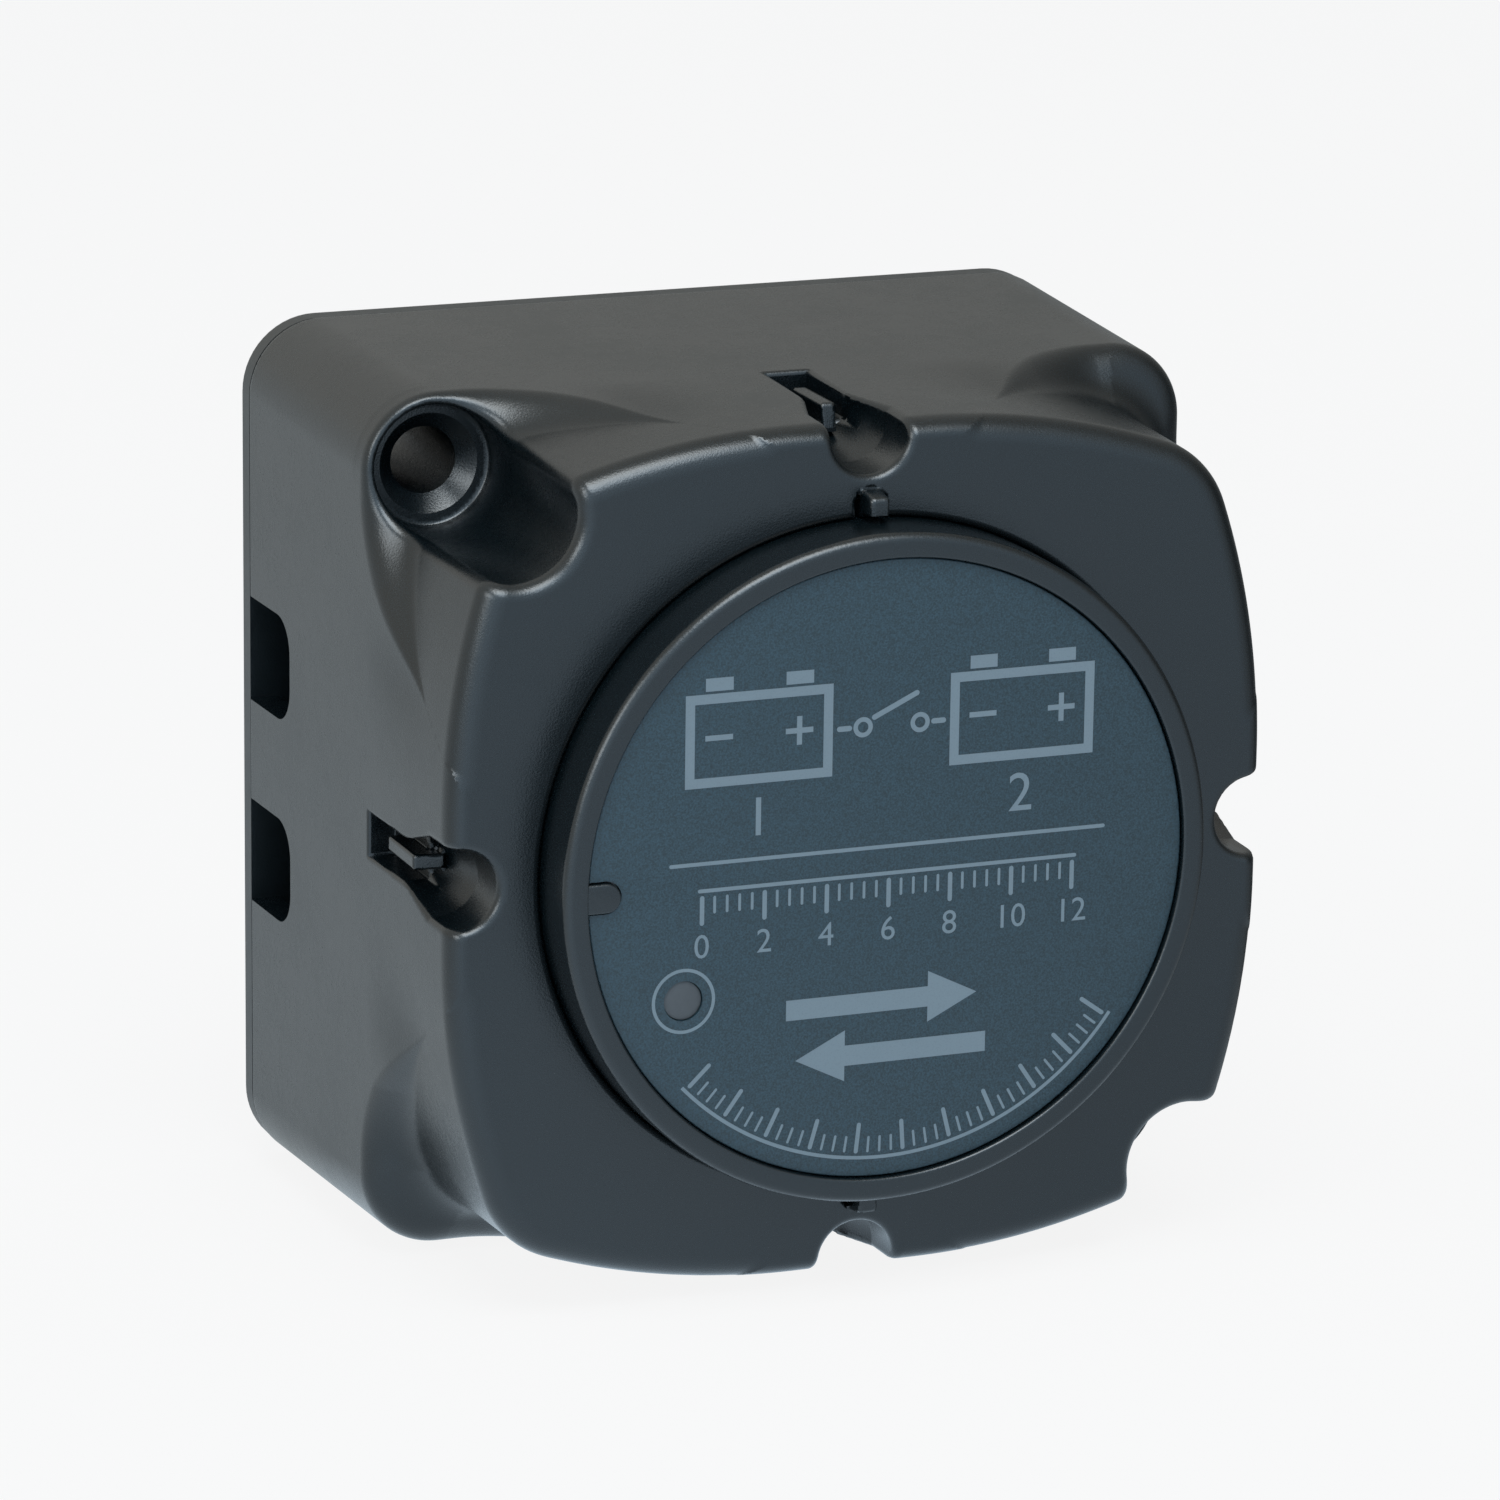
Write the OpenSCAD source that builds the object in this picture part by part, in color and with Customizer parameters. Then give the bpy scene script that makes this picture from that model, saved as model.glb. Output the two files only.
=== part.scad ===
// Battery isolator relay: a square moulded housing with a round front cap,
// terminal studs under a rear cover, and a plunger relay between them.
// X is to the right, Z is up, the mounting plane is Y = 0 and the front faces -Y.
// Inside the modules, x and y are across the face and z is the depth from the mounting plane.

/* [Housing] */
// Width and height of the housing at the mounting plane
body_w = 69; // [62:0.5:90]
// Depth from the mounting plane to the housing's front face
body_d = 45.8; // [45:0.1:52]
// Corner radius of the housing at the mounting plane
body_corner_r = 6; // [4:0.5:8]
// Draft of the side walls, as depth to inward lean
draft_share = 0.03; // [0.01:0.005:0.035]
// Wall thickness of the housing
shell_t = 2.2; // [1.6:0.1:2.6]
// Thickness of the housing's front wall
front_wall_t = 2.2; // [1.8:0.1:2.6]
// Rounding of the front edge
front_round_r = 2; // [1:0.1:2.4]
// Straight half length in the middle of each side of the front outline
front_flat = 5; // [3:0.5:7]
// Radius of the bowed part of each side of the front outline
front_side_r = 60; // [55:1:80]
// Radius of the corners of the front outline
front_corner_r = 8; // [7:0.5:9]

/* [Corner lobes] */
// Depth at which the corner lobes end
lobe_d = 27; // [26:0.1:28.5]
// Height of the scooped face between a lobe's edge and the front part
lobe_rise = 2.4; // [1.8:0.1:3]
// Distance from the middle of a side at which a lobe's edge starts to climb to the front
lobe_reach = 26; // [24:0.5:27]
// Depth that a lobe's edge gains on its way to the front
lobe_climb = 16; // [14:0.1:17]

/* [Screw wells] */
// Distance of the mounting screws from both centre planes
well_pos = 27.8; // [27.4:0.1:28.2]
// Radius of the wells for the screw heads
well_r = 4.9; // [4.4:0.1:5]
// Depth of the wells' floor
well_floor_d = 25.4; // [24:0.1:26]
// Radius of the countersink in the wells' floor
well_sink_r = 3.9; // [3.3:0.1:4.2]
// Radius of the mounting screw holes
screw_hole_r = 2.6; // [2.1:0.1:3.1]
// Wall thickness round the wells
well_wall_t = 1.6; // [1.2:0.1:1.8]

/* [Link grooves] */
// Distance of the grooves' floor from the centre
groove_floor = 29.3; // [29.1:0.1:29.8]
// Radius of the half-round grooves
groove_r = 3.1; // [2.6:0.1:3.3]
// Depth at which the half-round groove has narrowed to the slot
groove_rear_d = 36; // [34:0.5:38]
// Depth at which the half-round groove starts to narrow
groove_neck_d = 41; // [40:0.5:42]
// Width of the latch slot behind each groove
slot_w = 3.5; // [3:0.1:4]
// Depth of the slot's rear end
slot_rear_d = 28.4; // [28:0.1:30]
// Distance of the slot's floor from the centre
slot_floor = 30.7; // [30.5:0.1:31]
// Width of the latch rib in the slot
latch_w = 1.5; // [1:0.1:1.8]
// Height of the latch rib above the slot's floor
latch_h = 1.9; // [1.2:0.1:2.2]
// Depth of the latch rib's rear and front ends
latch_rear_d = 31.2; // [30.5:0.1:32]
latch_front_d = 40; // [38:0.1:41]
// Wall thickness behind the grooves
groove_wall_t = 1.4; // [1.1:0.1:1.6]

/* [Cable cutouts] */
// Width of the cable cutouts in the side walls
cutout_w = 8.4; // [6:0.1:10]
// Depth of the cutouts' front end
cutout_d = 11; // [9:0.1:12.5]
// Distance of the cutouts' middle above and below the centre
cutout_pos = 8.25; // [7.5:0.05:10]
// Corner radius of the cutouts
cutout_r = 2.8; // [1:0.1:3]

/* [Key tabs] */
// Width of the key tabs above and below the cap
tab_w = 1.5; // [1.2:0.1:1.8]
// Distance of a key tab's outer end from the centre
tab_end = 28.1; // [27.8:0.1:28.2]
// Height of the key tabs above the front face
tab_h = 1.9; // [1:0.1:2.2]
// Width of the pocket that a key tab stands in
tab_pocket_w = 2.8; // [2.4:0.1:3]
// Depth of that pocket below the front face
tab_pocket_d = 1.3; // [0.8:0.1:1.5]
// Space between a key tab's outer end and the end of its pocket
tab_pocket_gap = 0.4; // [0.3:0.1:0.5]

/* [Rear cover] */
// Thickness of the rear cover
cover_t = 1.7; // [1.4:0.1:2.2]
// Gap that the cover's outline keeps inside the housing's outline
cover_inset = 0.12; // [0.05:0.01:0.3]
// Height of the locating lip
cover_lip_h = 1.4; // [1:0.1:1.8]
// Thickness of the locating lip
cover_lip_t = 1.4; // [1:0.1:1.8]
// Thickness of the recessed middle panel
cover_panel_t = 1.2; // [1:0.05:1.3]
// Half width of the recessed middle panel
cover_panel = 17; // [14:0.5:18]
// Distance of the cover screws from both centre planes
cover_screw_pos = 27.2; // [26.6:0.1:27.4]
// Radius of the screw bosses in the housing
boss_r = 3.3; // [3:0.1:3.5]

/* [Terminal base] */
// Depth of the terminal base's rear face
base_d = 17; // [16.6:0.1:17.6]
// Thickness of the terminal base
base_t = 3; // [2.6:0.1:3.2]
// Thickness of the gasket
gasket_t = 0.8; // [0.6:0.1:1]
// Width of the gasket
gasket_w = 1.4; // [1.2:0.1:1.5]
// Thickness of the wall between the terminals
barrier_t = 2; // [1.6:0.1:2.4]
// Depth of the rear edge of the wall between the terminals
barrier_rear_d = 4.4; // [4:0.1:6]
// Half length of the wall between the terminals
barrier_len = 23; // [21:0.5:24]
// Distance of the base screws from the centre
base_screw_pos = 26.8; // [26.5:0.1:27.2]
// Radius of the posts that carry the relay
post_r = 3.2; // [2.8:0.1:3.5]
// Position of the posts across and up
post_x = 10.4; // [10:0.1:10.8]
post_y = 12.9; // [12.5:0.1:13.2]

/* [Terminals] */
// Radius of the terminal studs
stud_r = 4; // [3:0.5:4.5]
// Distance of the studs from the centre plane, across
stud_x = 12; // [11.5:0.1:12.5]
// Depth of the studs' rear tips
stud_tip_d = 3.4; // [3.4:0.1:4]
// Bevel of the studs' tips
stud_bevel = 0.7; // [0.4:0.1:0.9]
// Radius and thickness of the studs' contact heads
stud_head_r = 7.2; // [6.5:0.1:7.4]
stud_head_t = 2.6; // [2.2:0.1:2.8]
// Size across the flats of the stud nuts
nut_af = 13; // [12:0.5:13]
// Height of the stud nuts
nut_h = 6.5; // [6:0.1:6.8]
// Radius and thickness of the flat washers
washer_r = 7; // [6.7:0.1:7]
washer_t = 1.6; // [1.2:0.1:1.7]
// Radius and thickness of the spring washers
spring_washer_r = 6.6; // [6.2:0.1:6.9]
spring_washer_t = 2; // [1.6:0.1:2.1]
// Width of the gap in the spring washers
washer_gap = 1.2; // [0.8:0.1:1.5]

/* [Contacts] */
// Radius and thickness of the fixed contacts
fixed_pad_r = 4.4; // [4:0.1:4.8]
fixed_pad_t = 0.9; // [0.7:0.05:1]
// Radius and thickness of the moving contacts
moving_pad_r = 4; // [3.5:0.1:4.2]
moving_pad_t = 0.9; // [0.7:0.05:1]
// Gap between the open contacts
contact_gap = 2.4; // [2:0.1:2.6]
// Width and thickness of the contact bridge
bridge_w = 9.4; // [9:0.1:9.8]
bridge_t = 2; // [1.6:0.1:2.1]

/* [Relay] */
// Travel of the plunger
plunger_travel = 3; // [2.6:0.1:3.1]
// Radius of the plunger
plunger_r = 5; // [4.5:0.1:5.2]
// Running clearance of moving pieces
run_clear = 0.06; // [0.02:0.01:0.1]
// Radius of the plunger rod
rod_r = 1.5; // [1.2:0.1:1.6]
// Depth of the rod's rear end
rod_rear_d = 24.6; // [24.4:0.1:24.8]
// Depth of the end plate's rear face
end_plate_d = 32.4; // [32.3:0.1:32.6]
// Thickness of the steel plates
plate_t = 2; // [1.8:0.1:2.1]
// Half width and half height of the end plate
plate_x = 14; // [13.8:0.1:15]
plate_y = 18.6; // [18.4:0.1:19]
// Depth of the coil frame's front face
frame_d = 43; // [42.8:0.1:43.2]
// Outer radius of the coil winding
coil_r = 15.4; // [14:0.1:15.6]
// Outer radius of the bobbin's flanges
bobbin_r = 16.2; // [15.8:0.1:16.3]
// Thickness of the bobbin's flanges and of its tube
bobbin_t = 0.9; // [0.7:0.1:1]
// Depth of the fixed core's front face
core_front_d = 36.2; // [36:0.1:36.3]
// Radius of the spring pockets
pocket_r = 3.6; // [3.4:0.1:3.8]
// Depth of the spring pockets
pocket_d = 1; // [0.8:0.1:1.1]
// Wire radius of the springs
wire_r = 0.22; // [0.18:0.01:0.25]
// Coil radius of the return spring and of the contact spring
return_coil_r = 2.9; // [2.7:0.05:3]
contact_coil_r = 2.5; // [2.4:0.05:2.6]

/* [Front cap] */
// Outer radius of the cap
cap_r = 26; // [25.6:0.1:26]
// Gap between the cap and the housing's opening
cap_gap = 0.33; // [0.2:0.01:0.4]
// Depth of the cap's front rim
cap_front_d = 51; // [50.4:0.1:51.6]
// Width of the cap's rim
cap_rim_w = 1.9; // [1.6:0.1:2.1]
// Rounding of the rim's outer edge
cap_round_r = 1; // [0.5:0.1:1.2]
// Thickness of the cap's face behind the label
cap_face_t = 1.4; // [1.2:0.1:1.5]
// Drop from the rim to the label
label_drop = 0.5; // [0.3:0.05:0.7]
// Thickness of the label
label_t = 0.4; // [0.3:0.05:0.5]
// Gap round the label
label_gap = 0.1; // [0.05:0.01:0.2]
// Thickness of the cap's skirt
skirt_t = 1.5; // [1.2:0.1:1.6]
// Length of the rim's tongue that keys the label
tongue_len = 2.6; // [2:0.1:3]
// Width of the rim's tongue
tongue_w = 2.3; // [2:0.1:2.6]
// Width and height of the four snap hooks
hook_w = 7; // [5:0.5:8]
hook_h = 1.1; // [0.9:0.1:1.2]
// Reach of the snap hooks behind the housing's front wall
hook_reach = 0.9; // [0.7:0.05:1]

/* [Indicator] */
// Position of the indicator across and up
led_x = -16.4; // [-17:0.1:-15]
led_y = -8.6; // [-9:0.1:-8]
// Radius of the indicator's window
led_r = 1.5; // [1:0.1:1.6]

/* [Circuit board] */
// Radius and thickness of the circuit board
board_r = 23; // [22:0.1:23.2]
board_t = 1.6; // [1:0.1:1.6]
// Depth of the circuit board's rear face
board_d = 44.8; // [44.7:0.1:44.9]
// Width, height and thickness of the controller chip
chip_w = 7.5; // [6:0.5:8]
chip_h = 6; // [5:0.5:7]
chip_t = 1.5; // [1:0.1:1.6]
// Width and thickness of the driver transistor
driver_w = 6.4; // [5:0.1:6.6]
driver_t = 1.9; // [1.4:0.1:2]
// Length, width and thickness of the board capacitor
cap_part_l = 7; // [5:0.5:7]
cap_part_w = 4.2; // [3:0.1:4.4]
cap_part_t = 1.9; // [1.4:0.1:2]
// Length, width and thickness of a resistor
res_l = 3.2; // [2:0.1:3.4]
res_w = 1.6; // [1:0.1:1.8]
res_t = 0.6; // [0.4:0.1:0.8]

/* [Hidden] */
$fn = 64;
// Small overrun that keeps cuts clear of faces
eps = 0.01 * body_w;
// Clearance of threads and pressed pins in their holes
thread_clear = 0.05;
// Clearance of drop-in pieces
seat_clear = 0.3;
half_w = body_w / 2;
front_half = half_w - draft_share * body_d;
cavity_half = half_w - shell_t - draft_share * lobe_d / 2;
cavity_d = lobe_d - shell_t;
ledge_d = base_d + base_t + gasket_t;
inner_half = cavity_half - gasket_w;
front_cavity_r_share = 0.567;
front_cavity_r = front_cavity_r_share * inner_half;
cavity_r = body_corner_r - shell_t;
lobe_run = 9.5;
climb_power_share = 1.7;
jacket_r = well_r + well_wall_t;
head_d = base_d + base_t;
pad_d = head_d + stud_head_t;
fixed_face_d = pad_d + fixed_pad_t;
moving_face_d = fixed_face_d + contact_gap;
bridge_d = moving_face_d + moving_pad_t;
stud_y = cutout_pos;
stud_angle = -atan2(stud_y, stud_x);
stud_dist = sqrt(stud_x * stud_x + stud_y * stud_y);
bush_flange_t = 0.5;
bush_wall_t = 0.55;
bush_r = rod_r + run_clear + bush_wall_t;
bush_flange_r = 3.2;
play = 0.1;
clip_t = 0.6;
clip_r = 2.7;
clip_d = bridge_d - bush_flange_t - play - clip_t;
collar_t = 0.6;
collar_r = 3;
collar_d = end_plate_d - seat_clear - collar_t;
core_r = plunger_r;
spigot_r = 4;
plunger_rear_d = core_front_d + plunger_travel + play;
plunger_front_d = frame_d + 0.9;
bobbin_bore_r = plunger_r + run_clear;
tube_r = bobbin_bore_r + bobbin_t;
coil_d = end_plate_d + plate_t + play;
coil_front_d = frame_d - plate_t - play;
leg_gap = 0.2;
face_d = cap_front_d - label_drop - label_t;
skirt_d = body_d - front_wall_t;
board_front_d = board_d + board_t;
label_r = cap_r - cap_rim_w - label_gap;
screw_r = 1.5;
screw_head_r = 2.8;
screw_head_t = 1.5;
small_screw_r = 1;
small_head_r = 1.8;
small_head_t = 1;
socket_r_share = 0.5;
base_screw_len = 7;
cover_screw_len = 9;
sense_r = 0.7;
sense_x = 18.2;
pin_r = 0.35;
pin_x = 15.2;
pin_angle = 14;
standoff_r = 2;
standoff_pos = 11.6;
standoff_y = 16.2;
bevel = 0.4;
rim_step = 0.6;
tenon_w = 8;
stud_flat_share = 0.86;
bar_inset = 0.4;
spring_steps = 16;
spring_sides = 6;
return_turns = 4.5;
contact_turns = 2.5;
chip_x = 1;
chip_y = 7;
driver_x = 7.5;
driver_y = -8;
cap_part_x = -6.5;
cap_part_y = -7.5;
res_x = -10.5;
res_y = 3.4;
res_pitch = 2.6;
lead_t = 0.25;
pin_row_pitch = 1.27;
driver_tab_l = 1.6;

// Shares of the way in and of the way forward along the scooped face of a lobe
scoop_in_shares = [0, 0.02, 0.08, 0.18, 0.34, 0.6, 0.84, 0.95, 1];
scoop_up_shares = [0, 0.23, 0.44, 0.58, 0.65, 0.7, 0.76, 0.85, 1];
// Shares of the half side at which the outline has a point
side_shares = [-1, -0.91, -0.82, -0.73, -0.64, -0.54, -0.42, -0.24,
    0, 0.24, 0.42, 0.54, 0.64, 0.73, 0.82, 0.91];
corner_steps = 8;
round_steps = 4;

// Turns a piece drawn with depth along z into the object's frame
module face_up() {
    rotate([90, 0, 0]) children();
}

// Plain disc or ring between two depths
module disc(r, d0, d1) {
    translate([0, 0, d0]) cylinder(r = r, h = d1 - d0);
}

module ring(r_out, r_in, d0, d1) {
    difference() {
        disc(r_out, d0, d1);
        disc(r_in, d0 - eps, d1 + eps);
    }
}

module rounded_square(half, r) {
    union() {
        square([2 * (half - r), 2 * half], center = true);
        square([2 * half, 2 * (half - r)], center = true);
        for (sx = [-1, 1], sy = [-1, 1])
            translate([sx * (half - r), sy * (half - r)]) circle(r = r);
    }
}

module rounded_bar(w, h, r) {
    union() {
        square([w - 2 * r, h], center = true);
        square([w, h - 2 * r], center = true);
        for (sx = [-1, 1], sy = [-1, 1])
            translate([sx * (w / 2 - r), sy * (h / 2 - r)]) circle(r = r);
    }
}

// Copies at the two mounting screws, top left and bottom right
module at_wells() {
    translate([-well_pos, well_pos, 0]) children();
    translate([well_pos, -well_pos, 0]) children();
}

// Copies at the two cover screws, top right and bottom left
module at_bosses() {
    translate([cover_screw_pos, cover_screw_pos, 0]) children();
    translate([-cover_screw_pos, -cover_screw_pos, 0]) children();
}

// Copies at the four sides
module at_sides() {
    for (a = [0, 90, 180, 270]) rotate([0, 0, a]) children();
}

// Copies at the two studs
module at_studs() {
    translate([-stud_x, stud_y, 0]) children();
    translate([stud_x, -stud_y, 0]) children();
}

// Outline inside the housing that keeps round the wells and bosses
module cavity_outline(half, r, gap) {
    difference() {
        rounded_square(half, r);
        at_wells() circle(r = jacket_r + gap);
        at_bosses() circle(r = boss_r + gap);
    }
}

// Half width of the drafted side at a depth
function side_at(d) = half_w - draft_share * d;

// Distance from the centre to the front outline in a direction within 0 to 45 degrees
function arc_hit(a, cx, cy, r) =
    let (m = cx * cos(a) + cy * sin(a)) m + sqrt(m * m - cx * cx - cy * cy + r * r);
front_arc_x = front_half - front_side_r;
corner_b = front_arc_x + front_flat;
corner_gap = front_side_r - front_corner_r;
front_corner_c = (corner_b + sqrt(2 * corner_gap * corner_gap
    - (front_arc_x - front_flat) * (front_arc_x - front_flat))) / 2;
corner_turn = atan2(front_corner_c - front_flat, front_corner_c - front_arc_x);
corner_from = atan2(front_flat + front_side_r * sin(corner_turn),
    front_arc_x + front_side_r * cos(corner_turn));
function front_reach(a) =
    a < atan2(front_flat, front_half) ? front_half / cos(a)
    : a < corner_from ? arc_hit(a, front_arc_x, front_flat, front_side_r)
    : arc_hit(a, front_corner_c, front_corner_c, front_corner_r);

// Direction folded into 0 to 45 degrees
function folded(p) = let (x = abs(p[0]), y = abs(p[1])) atan2(min(x, y), max(x, y));

// Point of the outer outline at a depth, for a column given as side share or corner angle
function outer_point(c, d) =
    let (h = side_at(d), k = h - body_corner_r)
    c[0] == 0 ? [h, c[1] * k] : [k + body_corner_r * cos(c[1]), k + body_corner_r * sin(c[1])];

// Point of the front part's wall in the same direction
function inner_point(c, d) =
    let (p = outer_point(c, lobe_d), a = atan2(p[1], p[0]),
        r = front_reach(folded(p)) * side_at(d) / front_half)
    [r * cos(a), r * sin(a)];

// Depth of a lobe's edge in that column
function edge_depth(c) =
    let (p = outer_point(c, lobe_d), s = min(abs(p[0]), abs(p[1])),
        t = max(0, (lobe_reach - s) / (lobe_reach - lobe_run)),
        full = lobe_d + lobe_climb * pow(t, climb_power_share))
    min(full, body_d - front_round_r - lobe_rise - rim_step);

// One column of the housing's skin, from the rear edge to the front face
function skin_column(c) =
    let (d0 = edge_depth(c), o = outer_point(c, d0), q = inner_point(c, d0 + lobe_rise))
    concat(
        [for (d = [cover_t]) let (p = outer_point(c, d)) [p[0], p[1], d]],
        [for (k = [0 : len(scoop_in_shares) - 1])
            let (w = scoop_in_shares[k])
            [o[0] + (q[0] - o[0]) * w, o[1] + (q[1] - o[1]) * w,
                d0 + lobe_rise * scoop_up_shares[k]]],
        [for (k = [0 : round_steps])
            let (a = 90 * k / round_steps, p = inner_point(c, body_d - front_round_r),
                n = sqrt(p[0] * p[0] + p[1] * p[1]),
                f = (n - front_round_r * (1 - cos(a))) / n)
            [p[0] * f, p[1] * f, body_d - front_round_r * (1 - sin(a))]]);

function turned(p, a) = [p[0] * cos(a) - p[1] * sin(a), p[0] * sin(a) + p[1] * cos(a), p[2]];

quarter = concat(
    [for (s = side_shares) [0, s]],
    [for (k = [0 : corner_steps - 1]) [1, 90 * k / corner_steps]]);

// Housing skin as one loft round the depth axis
module housing_skin() {
    cols = [for (a = [0, 90, 180, 270], c = quarter) [for (p = skin_column(c)) turned(p, a)]];
    n = len(cols);
    m = len(cols[0]);
    points = concat([for (c = cols, p = c) p], [[0, 0, cover_t], [0, 0, body_d]]);
    walls = [for (i = [0 : n - 1], j = [0 : m - 2], h = [0, 1])
        let (a = i * m + j, b = ((i + 1) % n) * m + j)
        h == 0 ? [a, a + 1, b] : [b, a + 1, b + 1]];
    rear = [for (i = [0 : n - 1]) [i * m, ((i + 1) % n) * m, n * m]];
    front = [for (i = [0 : n - 1]) [((i + 1) % n) * m + m - 1, i * m + m - 1, n * m + 1]];
    polyhedron(points = points, faces = concat(walls, rear, front));
}

// Groove for a link and the latch slot behind it, on the right side
module groove_cut(grow) {
    axis = groove_floor + groove_r;
    translate([axis, 0, groove_neck_d]) cylinder(r = groove_r + grow, h = body_d);
    translate([axis, 0, groove_rear_d])
        cylinder(r1 = slot_w / 2 + grow, r2 = groove_r + grow, h = groove_neck_d - groove_rear_d);
    translate([slot_floor - grow, -slot_w / 2 - grow, slot_rear_d - grow])
        cube([half_w, slot_w + 2 * grow, body_d]);
}

module latch_rib() {
    translate([slot_floor - groove_wall_t / 2, -latch_w / 2, latch_rear_d])
        cube([latch_h + groove_wall_t / 2, latch_w, latch_front_d - latch_rear_d]);
}

module well_cut() {
    disc(well_r, well_floor_d, body_d + eps);
    translate([0, 0, well_floor_d - (well_sink_r - screw_hole_r)])
        cylinder(r1 = screw_hole_r, r2 = well_sink_r, h = well_sink_r - screw_hole_r);
    disc(screw_hole_r, 0, well_floor_d);
}

// Cable cutout through the right wall
module cutout_cut() {
    for (s = [-1, 1]) translate([cavity_half - eps, s * cutout_pos, 0]) rotate([0, 90, 0])
        linear_extrude(height = shell_t + 4 * eps) union() {
            translate([-cutout_d + cutout_r, -cutout_w / 2]) square([cutout_d - cutout_r, cutout_w]);
            translate([-cutout_d, -cutout_w / 2 + cutout_r]) square([cutout_r, cutout_w - 2 * cutout_r]);
            for (t = [-1, 1]) translate([-cutout_d + cutout_r, t * (cutout_w / 2 - cutout_r)])
                circle(r = cutout_r);
        }
}

// Outline of a key tab or of its pocket, from the cap's opening outward
module key_outline(width, inner, outer) {
    translate([-width / 2, inner]) square([width, outer - inner - width / 2]);
    translate([0, outer - width / 2]) circle(r = width / 2);
}

module key_tab() {
    translate([0, 0, body_d - tab_pocket_d - bevel])
        linear_extrude(height = tab_h + tab_pocket_d + bevel) union()
        key_outline(tab_w, cap_r + cap_gap / 2, tab_end);
}

module key_pocket() {
    translate([0, 0, body_d - tab_pocket_d]) linear_extrude(height = tab_pocket_d + eps) union()
        key_outline(tab_pocket_w, cap_r - cap_gap, tab_end + tab_pocket_gap);
}

module housing() {
    color([0.11, 0.14, 0.16]) face_up() union() {
        difference() {
            housing_skin();
            difference() {
                union() {
                    translate([0, 0, cover_t - eps]) linear_extrude(height = ledge_d - cover_t + eps)
                        cavity_outline(cavity_half, cavity_r, 0);
                    translate([0, 0, ledge_d - eps]) linear_extrude(height = cavity_d - ledge_d + eps)
                        cavity_outline(inner_half, cavity_r, gasket_w);
                    translate([0, 0, cavity_d - eps])
                        linear_extrude(height = body_d - front_wall_t - cavity_d + eps)
                        difference() {
                            rounded_square(inner_half, front_cavity_r);
                            at_wells() circle(r = jacket_r);
                        }
                }
                at_sides() groove_cut(groove_wall_t);
                at_sides() translate([base_screw_pos, 0, 0]) disc(screw_r + well_wall_t, head_d, slot_rear_d);
                at_sides() translate([base_screw_pos, -screw_r - well_wall_t, ledge_d])
                    cube([half_w - base_screw_pos, 2 * (screw_r + well_wall_t), slot_rear_d - ledge_d]);
            }
            disc(cap_r + cap_gap, body_d - front_wall_t - eps, body_d + eps);
            key_pocket();
            rotate([0, 0, 180]) key_pocket();
            at_wells() well_cut();
            at_sides() difference() {
                groove_cut(0);
                latch_rib();
            }
            cutout_cut();
            mirror([1, 0, 0]) cutout_cut();
            at_bosses() disc(screw_r + thread_clear, 0, cover_t + cover_screw_len);
            at_sides() translate([base_screw_pos, 0, 0])
                disc(screw_r + thread_clear, 0, base_d + base_screw_len);
        }
        key_tab();
        rotate([0, 0, 180]) key_tab();
    }
}

module rear_cover() {
    color([0.1, 0.12, 0.14]) face_up() difference() {
        union() {
            linear_extrude(height = cover_t)
                rounded_square(half_w - cover_inset, body_corner_r - cover_inset);
            translate([0, 0, cover_t - eps]) linear_extrude(height = cover_lip_h + eps) difference() {
                cavity_outline(cavity_half - seat_clear, cavity_r, seat_clear);
                cavity_outline(cavity_half - seat_clear - cover_lip_t, cavity_r, seat_clear + cover_lip_t);
                for (s = [-1, 1]) translate([0, s * cutout_pos])
                    square([body_w, cutout_w + cover_lip_t], center = true);
            }
        }
        translate([-cover_panel, -cover_panel, cover_panel_t]) cube([2 * cover_panel, 2 * cover_panel, cover_t]);
        at_wells() disc(screw_hole_r, -eps, cover_t + eps);
        at_bosses() disc(screw_r + thread_clear, -eps, cover_t + eps);
        at_bosses() cylinder(r1 = screw_head_r + play, r2 = screw_r + thread_clear, h = cover_t - bevel + play);
    }
}

// Rim, face and skirt of the cap as one turned profile
module cap_profile() {
    union() {
        translate([cap_r - skirt_t, skirt_d - hook_h])
            square([skirt_t, cap_front_d - cap_round_r - skirt_d + hook_h]);
        translate([0, face_d - cap_face_t]) square([cap_r - skirt_t + play, cap_face_t]);
        translate([cap_r - cap_rim_w, face_d - cap_face_t])
            square([cap_rim_w - cap_round_r, cap_front_d - face_d + cap_face_t]);
        translate([cap_r - cap_round_r, cap_front_d - cap_round_r]) circle(r = cap_round_r);
    }
}

// Tongue of the rim on the left, which also cuts the label
module cap_tongue(gap) {
    inner = cap_r - cap_rim_w - tongue_len + tongue_w / 2;
    translate([-inner, 0]) circle(r = tongue_w / 2 + gap);
    translate([-cap_r + cap_rim_w / 2, -tongue_w / 2 - gap])
        square([cap_r - cap_rim_w / 2 - inner, tongue_w + 2 * gap]);
}

module round_cap() {
    color([0.13, 0.15, 0.17]) face_up() difference() {
        union() {
            rotate_extrude() cap_profile();
            translate([0, 0, face_d - cap_face_t / 2])
                linear_extrude(height = cap_front_d - play - face_d + cap_face_t / 2) cap_tongue(0);
            intersection() {
                ring(cap_r + hook_reach, cap_r - skirt_t / 2, skirt_d - hook_h, skirt_d - leg_gap);
                union() {
                    for (a = [45, 135])
                        rotate([0, 0, a]) translate([-body_w / 2, -hook_w / 2, 0]) cube([body_w, hook_w, body_d]);
                }
            }
        }
        translate([led_x, led_y, 0]) disc(led_r + label_gap / 2, 0, cap_front_d);
    }
}

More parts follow.
